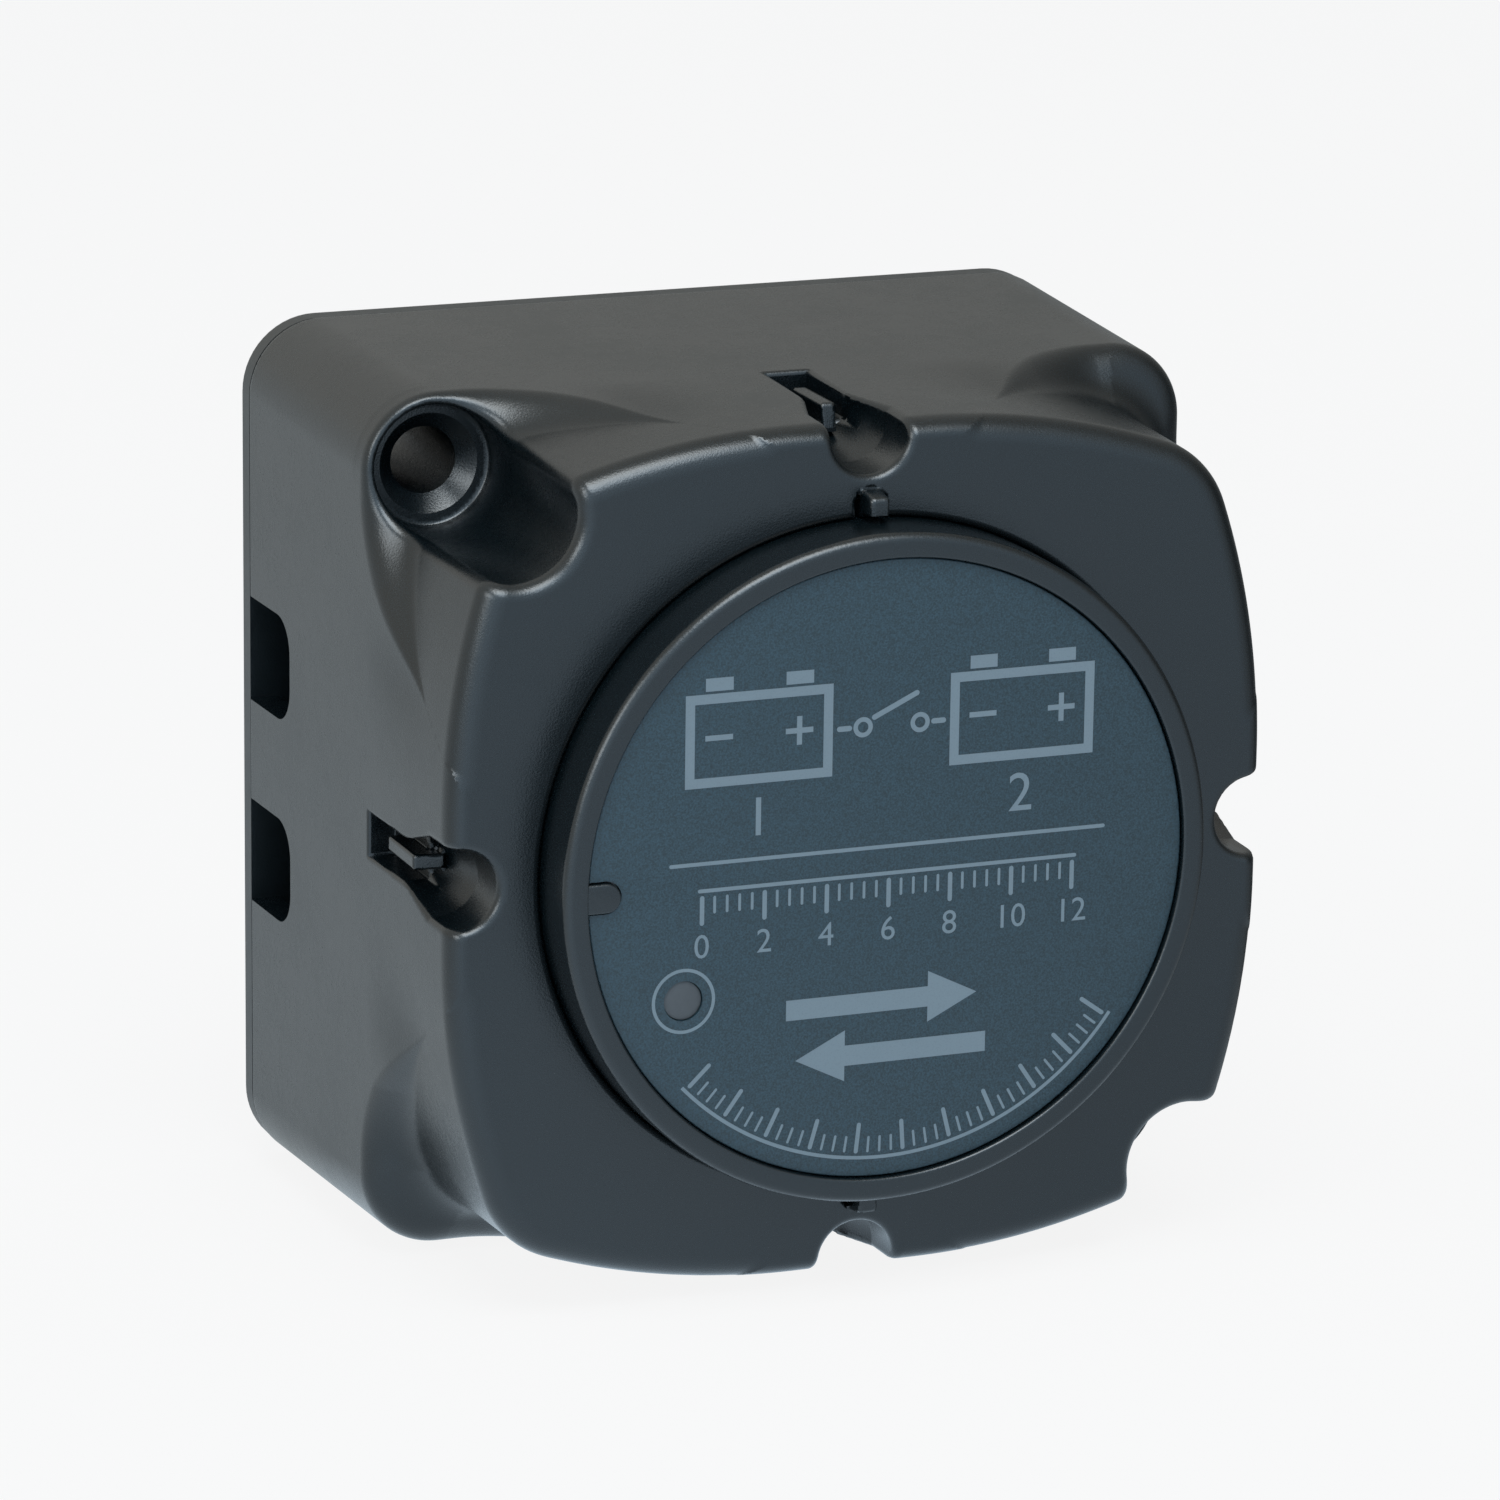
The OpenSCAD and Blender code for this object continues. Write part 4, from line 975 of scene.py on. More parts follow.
    def windows(self) -> Piece:
        """Tool for the four cable cutouts, rounded towards the front."""
        w, r = self.cutout_w / 2, self.cutout_r
        shape = [(-w, -2.0), (w, -2.0)]
        shape += arc(w - r, self.cutout_d - r, r, 0, 90, 12)
        shape += arc(r - w, self.cutout_d - r, r, 90, 180, 12)
        points, faces = [], []
        for side in (-1, 1):
            for z in (-self.cutout_z, self.cutout_z):
                base, n = len(points), len(shape)
                for x in (30.6, 38.0):
                    points += [(side * x, -d, z + u) for u, d in shape]
                faces.append([base + i for i in range(n)])
                faces.append([base + n + i for i in reversed(range(n))])
                for i in range(n):
                    j = (i + 1) % n
                    faces.append((base + i, base + n + i, base + n + j, base + j))
        tool = from_mesh("window_tool", points, faces)
        tidy_mesh(tool, 1e-5)
        return tool

    def skin_shade(self, piece: Piece) -> None:
        """Take the corner normals of the skin from its field, so that fillets shade clean."""
        mesh = piece.data
        corners = len(mesh.loops)
        p = to_skin(vertex_rows(mesh))
        on = np.abs(self.skin.field(p)) < self.near_skin
        g = to_frame(self.skin.slope(p))
        g /= np.maximum(np.linalg.norm(g, axis=1, keepdims=True), 1e-9)
        vertex = np.empty(corners, np.int32)
        mesh.loops.foreach_get("vertex_index", vertex)
        starts = np.empty(len(mesh.polygons), np.int32)
        sizes = np.empty(len(mesh.polygons), np.int32)
        mesh.polygons.foreach_get("loop_start", starts)
        mesh.polygons.foreach_get("loop_total", sizes)
        face_of = np.repeat(np.arange(len(sizes)), sizes)
        flat = np.empty(len(sizes) * 3)
        mesh.polygons.foreach_get("normal", flat)
        flat = flat.reshape(-1, 3)
        agree = on[vertex] & ((g[vertex] * flat[face_of]).sum(1) > 0.5)
        whole = np.minimum.reduceat(agree, starts)
        normals = np.empty(corners * 3)
        mesh.corner_normals.foreach_get("vector", normals)
        normals = normals.reshape(-1, 3)
        take = whole[face_of]
        normals[take] = g[vertex[take]]
        mesh.normals_split_custom_set(normals.tolist())

    def build(self, finish: Material) -> Piece:
        """Build the housing and hand it over."""
        points, quads = self.skin.net(self.pitch)
        points = to_frame(self.skin.settle(points))
        piece = from_mesh("housing_shell", points.tolist(), quads.tolist())
        tidy_mesh(piece, 1e-5)
        use(piece, "TRIANGULATE")
        share = min(1.0, self.faces / len(piece.data.polygons))
        if share < 1:
            use(piece, "DECIMATE", ratio=share)
        settled = to_frame(self.skin.settle(to_skin(vertex_rows(piece.data)), 2))
        piece.data.vertices.foreach_set("co", settled.astype(np.float32).ravel())
        piece.data.update()
        cut(piece, self.hollow())
        cut(piece, self.windows())
        q, b, s, r = self.skin.well_pos, self.boss_pos, self.post_pos, self.bore_r
        bars = [(b, b, r, *self.boss_bore), (-b, -b, r, *self.boss_bore)]
        bars += [(x, z, r, *self.post_bore) for x, z in ((s, 0), (-s, 0), (0, s), (0, -s))]
        cut(piece, self.round_bars(bars))
        for side in (-1, 1):
            cut(piece, self.sink(side * q, -side * q))
        smooth(piece, 30)
        self.skin_shade(piece)
        piece.data.transform(Matrix.Scale(MM, 4))
        hand_over(piece, finish, stands_for=["housing"])
        return piece


# ---------------------------------------------------------------- front cap and label


@dataclass
class FrontCap:
    """The round snap-in cap with its rim, face and tongue."""

    r: float = 26.0
    front: float = 51.0
    edge_r: float = 0.75
    rim_w: float = 1.9
    inner_r: float = 0.25
    face: float = 50.1
    face_t: float = 1.4
    skirt_t: float = 1.3
    skirt_low: float = 42.5
    tongue_w: float = 2.3
    tongue_end: float = 21.5
    hook_r: float = 26.9
    hook_top: float = 43.4
    hook_w: float = 8.0
    led: Point2 = (-16.4, -8.6)
    led_r: float = 1.55

    def profile(self) -> list[Point2]:
        """Radius and depth of the cap's section, from the axis outside round and back."""
        rim = self.r - self.rim_w
        outside = arc(self.r - self.edge_r, self.front - self.edge_r, self.edge_r, 0, 90, 12)
        inside = arc(rim + self.inner_r, self.front - self.inner_r, self.inner_r, 90, 180, 5)
        skirt = self.r - self.skirt_t
        low = [(skirt + 0.3, self.skirt_low), (self.r - 0.3, self.skirt_low)]
        low.append((self.r, self.skirt_low + 0.3))
        under = [(skirt, self.face - self.face_t), (skirt, self.skirt_low + 0.3)]
        top = [(0.0, self.face), (rim - 0.15, self.face), (rim, self.face + 0.15)]
        round_edge, end = outside + inside, (0.0, self.face - self.face_t)
        return [*top, *round_edge[::-1], *low[::-1], *under[::-1], end]

    def tongue(self, gap: float = 0.0) -> list[Point2]:
        """Outline of the tongue on the left, grown by a gap."""
        w = self.tongue_w / 2 + gap
        end = arc(-self.tongue_end - self.tongue_w / 2, 0.0, w, 90, -90, 16)
        return [(-self.r + self.rim_w / 2, w), *end, (-self.r + self.rim_w / 2, -w)]

    def build(self, finish: Material) -> Piece:
        """Build the cap and hand it over."""
        cap = turned("cap_body", self.profile(), 240)
        tongue = pressed("tongue_tool", self.tongue(), self.face - 0.7, self.front - 0.1)
        use(tongue, "BEVEL", width=0.2 * MM, segments=3, limit_method="ANGLE")
        cut(cap, tongue, "UNION")
        hooks = []
        for turn in (45, 135, 225, 315):
            span = math.degrees(self.hook_w / 2 / self.hook_r)
            outer = arc(0, 0, self.hook_r, turn - span, turn + span, 10)
            inner = arc(0, 0, self.r - 0.6, turn + span, turn - span, 10)
            hooks.append(pressed("hook", outer + inner, self.skirt_low, self.hook_top))
        cut(cap, joined("hook_tool", hooks), "UNION")
        bore = [(0, 40), (self.led_r, 40), (self.led_r, 53), (0, 53)]
        cut(cap, turned("led_tool", bore, 48, self.led))
        smooth(cap, 32)
        hand_over(cap, finish, stands_for=["round_cap"])
        return cap


class Sign(Enum):
    """Sign in a battery picture."""

    PLUS = "plus"
    MINUS = "minus"


@dataclass
class LabelArt:
    """Plain generic print for the label: two batteries, a contact, a scale and tick marks."""

    depth: float = 50.5
    film: float = 0.025
    line: float = 0.42
    bold: float = 0.75
    battery_at: Point2 = (10.6, 11.3)
    battery_size: Point2 = (11.0, 6.4)
    pole_size: Point2 = (2.2, 1.0)
    pole_gap: float = 0.2
    pole_x: float = 3.2
    sign_size: float = 2.2
    contact_x: float = 2.3
    contact_r: float = 0.6
    rule: Point2 = (17.5, 1.9)
    scale: Point2 = (15.2, -0.2)
    scale_ticks: int = 31
    arrow_size: Point2 = (15.5, 4.0)
    arrow_z: Point2 = (-10.2, -14.2)
    dial_r: float = 22.5
    dial_ends: Point2 = (-137, -35)
    dial_ticks: int = 41
    dial_step: float = 2.5
    eye: Point2 = (-16.4, -8.6)
    eye_r: float = 2.4
    shapes: list = field(default_factory=list)

    def bar(self, x0: float, z0: float, x1: float, z1: float, w: float) -> None:
        """Straight stroke between two points with rounded ends."""
        turn = math.degrees(math.atan2(z1 - z0, x1 - x0))
        first = arc(x1, z1, w / 2, turn - 90, turn + 90, 6)
        self.shapes.append(first + arc(x0, z0, w / 2, turn + 90, turn + 270, 6))

    def sweep(self, at: Point2, r: float, ends: Point2, w: float, strokes: int = 8) -> None:
        """Curved stroke along an arc, in short pieces edge to edge."""
        turns = np.linspace(*ends, strokes + 1)
        for a, b in zip(turns, turns[1:]):
            self.shapes.append(arc(*at, r + w / 2, a, b, 6) + arc(*at, r - w / 2, b, a, 6))

    def ring(self, at: Point2, r: float, w: float) -> None:
        """Circle."""
        self.sweep(at, r, (0, 360), w)

    def frame(self, x: float, z: float, w: float, h: float, line: float) -> None:
        """Rectangle drawn with four mitred strokes."""
        corners = [(-1, -1), (1, -1), (1, 1), (-1, 1)]
        outer, inner = (
            [(x + a * (w + grow) / 2, z + b * (h + grow) / 2) for a, b in corners]
            for grow in (line, -line)
        )
        for n in range(4):
            m = (n + 1) % 4
            self.shapes.append([outer[n], outer[m], inner[m], inner[n]])

    def sign(self, x: float, z: float, size: float, kind: Sign) -> None:
        """Plus or minus as one outline."""
        a, b = size / 2, self.line / 2
        if kind is Sign.MINUS:
            outline = [(-a, -b), (a, -b), (a, b), (-a, b)]
        else:
            outline = [(-b, -a), (b, -a), (b, -b), (a, -b), (a, b), (b, b)]
            outline += [(b, a), (-b, a), (-b, b), (-a, b), (-a, -b), (-b, -b)]
        self.shapes.append([(x + u, z + v) for u, v in outline])

    def battery(self, x: float, z: float) -> None:
        """Battery with its two poles and their signs."""
        w, h = self.battery_size
        self.frame(x, z, w, h, self.bold)
        half, high = self.pole_size[0] / 2, self.pole_size[1]
        low = z + h / 2 + self.bold / 2 + self.pole_gap
        for side, kind in ((-1, Sign.MINUS), (1, Sign.PLUS)):
            pole = x + side * self.pole_x
            left, right, top = pole - half, pole + half, low + high
            self.shapes.append([(left, low), (right, low), (right, top), (left, top)])
            self.sign(pole, z + 0.2, self.sign_size, kind)

    def arrow(self, x: float, z: float, w: float, h: float, way: int) -> None:
        """Solid arrow pointing left or right."""
        tip, neck, back = x + way * w / 2, x + way * (w / 2 - h), x - way * w / 2
        outline = [(back, z - h / 5), (neck, z - h / 5), (neck, z - h / 2), (tip, z)]
        outline += [(neck, z + h / 2), (neck, z + h / 5), (back, z + h / 5)]
        self.shapes.append(outline)

    def numeral(self, word: str, x: float, z: float, height: float) -> Piece:
        """Numeral as a thin mesh on the label."""
        curve = bpy.data.curves.new("numeral", "FONT")
        curve.body = word
        curve.size = height * 1.38 * MM
        curve.align_x, curve.align_y = "CENTER", "CENTER"
        curve.resolution_u = 4
        piece = bpy.data.objects.new("numeral", curve)
        bpy.context.scene.collection.objects.link(piece)
        alone(piece)
        bpy.ops.object.convert(target="MESH")
        piece = bpy.context.active_object
        piece.data.transform(Matrix.Rotation(math.pi / 2, 4, "X"))
        piece.data.transform(Matrix.Translation(spot(x, z, self.depth + self.film)))
        return piece

    def draw(self) -> None:
        """Lay out the whole print."""
        x, z = self.battery_at
        for side in (-1, 1):
            self.battery(side * x, z)
        self.bar(-4.2, z, -3.4, z, self.line)
        self.bar(3.4, z, 4.2, z, self.line)
        for side in (-1, 1):
            self.ring((side * self.contact_x, z), self.contact_r, 0.36)
        self.bar(-1.4, 12.0, 2.0, 13.6, self.line)
        half, level = self.rule
        self.bar(-half, level, half, level, 0.3)
        for n in range(self.scale_ticks):
            x = n - self.scale_ticks // 2
            low, wide = (-1.9, 0.22) if n % 5 else (-2.7, 0.36)
            self.bar(x, -0.75, x, low, wide)
        half, level = self.scale
        self.bar(-half, level, half, level, 0.3)
        upper, lower = self.arrow_z
        self.arrow(-0.4, upper, *self.arrow_size, 1)
        self.arrow(0.4, lower, *self.arrow_size, -1)
        for n in range(self.dial_ticks):
            turn = math.radians(-136 + n * self.dial_step)
            low, wide = (20.9, 0.2) if n % 4 else (19.9, 0.34)
            high, c, s = 22.0, math.cos(turn), math.sin(turn)
            self.bar(low * c, low * s, high * c, high * s, wide)
        self.sweep((0, 0), self.dial_r, self.dial_ends, 0.28, 16)
        self.ring(self.eye, self.eye_r, 0.26)

    def build(self, finish: Material) -> Piece:
        """Build the print and hand it over."""
        self.draw()
        level = self.depth + self.film
        points, faces = [], []
        for shape in self.shapes:
            base = len(points)
            points += [spot(x, z, level) for x, z in shape]
            faces.append(list(range(base, base + len(shape))))
        flat = [from_mesh("print_shapes", points, faces)]
        flat += [self.numeral(w, x, 5.0, 3.1) for w, x in (("1", -10.6), ("2", 10.6))]
        flat += [self.numeral(str(n * 2), -15 + n * 5, -4.6, 1.9) for n in range(7)]
        art = joined("label_print", flat)
        use(art, "TRIANGULATE")
        with whole_mesh(art):
            bpy.ops.mesh.normals_make_consistent(inside=False)
        if art.data.polygons[0].normal.y > 0:
            art.data.flip_normals()
        hand_over(art, finish)
        return art


@dataclass
class Label:
    """The film disc in the cap's recess, with its light window."""

    cap: FrontCap
    r: float = 24.0
    low: float = 50.1
    high: float = 50.5
    window_r: float = 1.5
    window_low: float = 48.7

    def build(self, film: Material, smoke: Material) -> Piece:
        """Build the disc and its window and hand them over."""
        edge = arc(self.r - 0.12, self.high - 0.12, 0.12, 0, 90, 4)
        disc = turned("label_film", [(0, self.low), (self.r, self.low), *edge, (0, self.high)], 240)
        cut(disc, pressed("notch_tool", self.cap.tongue(0.12), 49.0, 52.0))
        bore = [(0, 49), (self.cap.led_r, 49), (self.cap.led_r, 52), (0, 52)]
        cut(disc, turned("eye_tool", bore, 48, self.cap.led))
        smooth(disc, 30)
        hand_over(disc, film, stands_for=["label_disc"])
        dome = arc(0, self.high - 6.0, 6.0, 90 - math.degrees(self.window_r / 6.0), 90, 6)
        lens = [(0, self.window_low), (self.window_r, self.window_low), *dome[:-1], (0, self.high)]
        window = turned("led_lens", lens, 48, self.cap.led)
        smooth(window, 40)
        hand_over(window, smoke, stands_for=["led_window"])
        return disc


# ---------------------------------------------------------------- fastenings and springs


def threaded(
    r: float, pitch: float, low: float, high: float, depth: float, steps: int = 40
) -> Piece:
    """Round bar with a helical thread that fades at both ends.

    Args:
        r: radius over the crests.
        pitch: rise of one turn.
        low: depth of the rear end.
        high: depth of the front end.
        depth: depth of the thread's groove.
        steps: segments of a turn.

    Returns:
        Closed bar on the depth axis.
    """
    rows = max(12, int((high - low) / pitch * 10))
    d = np.linspace(low, high, rows + 1)[:, None]
    turn = np.linspace(0, math.tau, steps, endpoint=False)[None, :]
    wave = np.abs(((d - low) / pitch - turn / math.tau) % 1 - 0.5) * 2
    groove = np.clip((wave - 0.2) / 0.65, 0, 1)
    fade = np.clip(np.minimum(d - low, high - d) / (0.6 * pitch), 0, 1)
    radius = r - depth * (1 - groove * fade)
    points = np.stack([radius * np.cos(turn), -d + 0 * turn, radius * np.sin(turn)], -1)
    points = points.reshape(-1, 3) * MM
    bar = from_mesh("thread", points.tolist(), tube_faces(rows + 1, steps))
    tidy_mesh(bar)
    return bar


def moved(piece: Piece, x: float, z: float, turn: float = 0.0) -> Piece:
    """Turn a piece about the depth axis and carry its mesh to a place on the face."""
    swing = Matrix.Rotation(math.radians(turn), 4, "Y")
    piece.data.transform(Matrix.Translation(spot(x, z, 0)) @ swing)
    return piece


def copied(piece: Piece) -> Piece:
    """Copy a piece with its own mesh."""
    twin = piece.copy()
    twin.data = piece.data.copy()
    bpy.context.scene.collection.objects.link(twin)
    return twin


class Drive(Enum):
    """Shape of a screw's head."""

    PAN = "pan"
    SUNK = "sunk"


@dataclass
class Screw:
    """Cross-recessed screw whose head looks to the rear."""

    name: str
    places: Sequence[Point2]
    head: float
    end: float
    r: float = 1.5
    head_r: float = 2.8
    head_t: float = 1.5
    drive: Drive = Drive.PAN
    pitch: float = 0.6
    groove: float = 0.25
    head_edge: float = 0.7

    def head_profile(self) -> list[Point2]:
        """Radius and height of the head, from the axis outside to the shank."""
        if self.drive is Drive.SUNK:
            rim = [(self.head_r - 0.1, 0), (self.head_r, 0.1)]
            return [(0, 0), *rim, (self.r - self.groove, self.head_t)]
        edge = self.head_edge
        dome = arc(self.head_r - edge, edge, edge, -90, 0, 5)
        return [(0, 0), *dome, (self.head_r, self.head_t), (self.r - self.groove, self.head_t)]

    def recess(self) -> Piece:
        """Tool for the cross recess."""
        arms = []
        for turn in (0, 90):
            w, long = self.head_r * 0.1, self.head_r * 0.52
            shape = [(-long, -w), (long, -w), (long, w), (-long, w)]
            arm = pressed("arm", shape, -0.5, self.head_t * 0.62)
            use(arm, "BEVEL", width=0.12 * MM, segments=2, limit_method="ANGLE")
            arms.append(moved(arm, 0, 0, turn))
        cut(arms[0], arms[1], "UNION")
        return arms[0]

    def build(self, finish: Material, slot: str, body: str = "body") -> None:
        """Build one screw, copy it to its places and hand the group over."""
        length = abs(self.end - self.head)
        shank = self.r - self.groove
        screw = turned("screw", [*self.head_profile(), (shank, length), (0, length)], 40)
        thread = threaded(self.r, self.pitch, self.head_t + 0.3, length - 0.1, 0.3, 32)
        cut(screw, thread, "UNION")
        cut(screw, self.recess())
        screw.data.transform(Matrix.Translation(spot(0, 0, self.head)))
        group = []
        for n, (x, z) in enumerate(self.places):
            group.append(moved(copied(screw), x, z, 17 + 41 * n))
        bpy.data.objects.remove(screw, do_unlink=True)
        piece = joined(self.name + "_cut", group)
        smooth(piece, 32)
        hand_over(piece, finish, body, [self.name])


@dataclass
class Stud:
    """M8 terminal stud with its flat-sided head inside."""

    name: str
    x: float
    z: float
    r: float = 4.0
    tip: float = 3.4
    base: float = 20.0
    head_r: float = 7.2
    head_t: float = 2.6
    flat: float = 0.86
    pitch: float = 1.25
    root: float = 0.62
    thread_end: float = 16.6

    def build(self, finish: Material) -> None:
        """Build the stud and hand it over."""
        half = self.head_r * self.flat
        side = math.degrees(math.asin(self.flat))
        outline = arc(0, 0, self.head_r, -side, side, 24)
        outline += arc(0, 0, self.head_r, 180 - side, 180 + side, 24)
        outline = [(x, max(-half, min(half, z))) for x, z in outline]
        head = pressed("head", outline, self.base, self.base + self.head_t)
        use(head, "BEVEL", width=0.25 * MM, segments=3, limit_method="ANGLE")
        neck, root, foot = self.r - 0.1, self.r - self.root, self.base + 0.4
        core = [(0, self.tip), (self.r - 1.1, self.tip), (root, self.tip + 0.5)]
        core += [(root, 17.0), (neck, 17.4), (neck, foot), (0, foot)]
        stud = turned("stud", core, 64)
        thread = threaded(self.r, self.pitch, self.tip + 0.35, self.thread_end, 0.68, 64)
        cut(stud, thread, "UNION")
        cut(stud, head, "UNION")
        moved(stud, self.x, self.z)
        stud.name = stud.data.name = self.name + "_threaded"
        smooth(stud, 32)
        hand_over(stud, finish, stands_for=[self.name])


@dataclass
class Nuts:
    """The two hexagon nuts on the studs, chamfered on their rear faces."""

    places: Sequence[Point2]
    low: float = 6.9
    high: float = 13.4
    across: float = 13.0
    bore: float = 4.05

    def build(self, finish: Material) -> None:
        """Build one nut, copy it and hand both over."""
        corner = self.across / math.sqrt(3)
        turns = np.radians(range(0, 360, 60))
        outline = [(corner * math.cos(a), corner * math.sin(a)) for a in turns]
        low, high = self.low, self.high
        nut = pressed("nut", outline, low, high)
        flat, wide = self.across / 2 - 0.15, corner + 0.1
        barrel = [(0, low), (flat, low), (wide, low + 0.55), (wide, high), (0, high)]
        cut(nut, turned("barrel", barrel, 96), "INTERSECT")
        wide = self.bore + 0.35
        bore = [(0, low - 1), (wide + 0.8, low - 0.8), (self.bore, low + 0.4)]
        bore += [(self.bore, high - 0.35), (wide, high), (wide, high + 1), (0, high + 1)]
        cut(nut, turned("bore", bore, 64))
        group = [moved(copied(nut), x, z) for x, z in self.places]
        bpy.data.objects.remove(nut, do_unlink=True)
        piece = joined("hexagon_nuts", group)
        smooth(piece, 30)
        hand_over(piece, finish, stands_for=["stud_nuts"])


@dataclass
class Spring:
    """Compression spring wound from round wire, its end turns laid flat."""

    name: str
    r: float
    wire: float
    turns: float
    low: float
    high: float
    body: str
    joint: str
    anchor: float
    keep: float

    def build(self, finish: Material) -> None:
        """Wind the spring and hand it over."""
        steps, sides = int(self.turns * 48), 14
        t = np.linspace(0, 1, steps + 1)
        flat = 0.75 / self.turns
        lift = np.clip((t - flat) / (1 - 2 * flat), 0, 1)
        lift = 0.75 * lift + 0.25 * soft_step(lift)
        closed = 2.2 * self.wire
        rest = closed * (np.minimum(t / flat, 1) + np.clip((t - 1 + flat) / flat, 0, 1))
        span = self.high - self.low - 2 * self.wire
        d = self.low + self.wire + rest * 0.5 + (span - closed) * lift
        turn = math.tau * self.turns * t
        centre = np.stack([self.r * np.cos(turn), -d, self.r * np.sin(turn)], 1)
        out = np.stack([np.cos(turn), 0 * turn, np.sin(turn)], 1)
        along = np.gradient(centre, axis=0)
        along /= np.linalg.norm(along, axis=1, keepdims=True)
        side = np.cross(along, out)
        ring = np.linspace(0, math.tau, sides, endpoint=False)
        across = np.cos(ring)[None, :, None] * out[:, None, :]
        across = across + np.sin(ring)[None, :, None] * side[:, None, :]
        points = centre[:, None, :] + self.wire * across
        places = (points.reshape(-1, 3) * MM).tolist()
        piece = from_mesh(self.name + "_wound", places, tube_faces(steps + 1, sides))
        tidy_mesh(piece)
        smooth(piece, 50)
        hand_over(piece, finish, self.body, [self.name])
        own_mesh(piece)


@dataclass
class Winding:
    """The coil's wire, turn beside turn, under a wrap of tape whose end shows."""

    r: float = 15.4
    inner: float = 6.06
    low: float = 35.5
    high: float = 39.9
    wire: float = 0.4

    def build(self, finish: Material) -> None:
        """Build the winding and hand it over."""
        count = int((self.high - self.low) / self.wire)
        half = (self.high - self.low) / count / 2
        profile = []
        for n in range(count):
            mid = self.low + half * (2 * n + 1)
            for a in np.radians(np.linspace(-80, 80, 7)):
                profile.append((self.r - half * 0.8 * (1 - math.cos(a)), mid + half * math.sin(a)))
        coil = turned("winding", [(self.inner, self.low), *profile, (self.inner, self.high)], 128)
        outline = arc(0, 0, self.r - 0.02, 20, 70, 24) + arc(0, 0, self.r - 0.35, 70, 20, 24)
        tape = pressed("tape", outline, self.low + 0.15, self.high - 0.15)
        cut(coil, tape, "UNION")
        coil.name = coil.data.name = "wound_coil"
        smooth(coil, 50)
        hand_over(coil, finish, stands_for=["coil_winding"])


@dataclass
class BoardParts:
    """Parts on the control board: chip, light and solder."""

    level: float = 46.4
    led: Point2 = (-16.4, -8.6)
    chip: Point2 = (1.0, 7.0)
    chip_half: Point2 = (3.75, 2.4)
    chip_pitch: float = 1.27
    joints: Sequence[tuple[float, float, float]] = (
        (-18.2, 8.25, 1.25),
        (18.2, -8.25, 1.25),
        (14.75, 3.68, 0.75),
        (14.75, -3.68, 0.75),
    )

    def light(self, finish: Material) -> None:
        """Indicator with its flange and dome."""
        dome = arc(0, 46.9, 1.5, 0, 90, 10)
        section = [(0, self.level), (1.6, self.level), (1.6, 46.85), *dome]
        lens = turned("led_dome", section, 48, self.led)
        smooth(lens, 35)
        hand_over(lens, finish, stands_for=["status_led"])

    def slab(self, name: str, left: float, right: float, ends: Point2, span: Point2) -> Piece:
        """Block from its sides, its ends and its lowest and highest depth."""
        low, high = ends
        outline = [(left, low), (right, low), (right, high), (left, high)]
        return pressed(name, outline, *span)

    def controller(self, resin: Material, tin: Material) -> None:
        """Chip body with its mark, and its bent leads."""
        x, z = self.chip
        w, h = self.chip_half
        body = self.slab("chip_body", x - w, x + w, (z - h, z + h), (46.55, 47.9))
        use(body, "BEVEL", width=0.18 * MM, segments=2, limit_method="ANGLE")
        dot = [(0, 47.8), (0.35, 47.8), (0.35, 48.5), (0, 48.5)]
        cut(body, turned("dot", dot, 24, (x - w + 0.9, z - h + 0.9)))
        smooth(body, 30)
        hand_over(body, resin, stands_for=["controller_chip"])
        bends = (
            ((h - 0.1, h + 0.25), (47.05, 47.25)),
            ((h + 0.15, h + 0.35), (46.42, 47.25)),
            ((h + 0.15, h + 0.6), (46.42, 46.6)),
        )
        leads = []
        for n in (-2, -1, 0, 1, 2):
            for side in (-1, 1):
                a = x + n * self.chip_pitch
                bars = []
                for (near, far), span in bends:
                    ends = (z + side * near, z + side * far)
                    bars.append(self.slab("lead", a - 0.2, a + 0.2, ends, span))
                cut(bars[0], bars[1], "UNION")
                cut(bars[0], bars[2], "UNION")
                leads.append(bars[0])
        piece = joined("chip_leads", leads)
        hand_over(piece, tin)

    def solder(self, finish: Material) -> None:
        """Solder cones round the posts and pins."""
        cones = []
        for x, z, r in self.joints:
            foot, level = self.level - 0.03, self.level
            cone = [(0, foot), (r, foot), (r * 0.72, level + 0.12 * r)]
            cone += [(r * 0.6, level + 0.55 * r), (0, level + 0.62 * r)]
            cones.append(turned("cone", cone, 32, (x, z)))
        piece = joined("board_solder", cones)
        smooth(piece, 60)
        hand_over(piece, finish)

    def build(self, finishes: dict[str, Material]) -> None:
        """Build every part on the board."""
        self.light(finishes["led_red"])
        self.controller(finishes["chip_black"], finishes["tinned"])
        self.solder(finishes["tinned"])


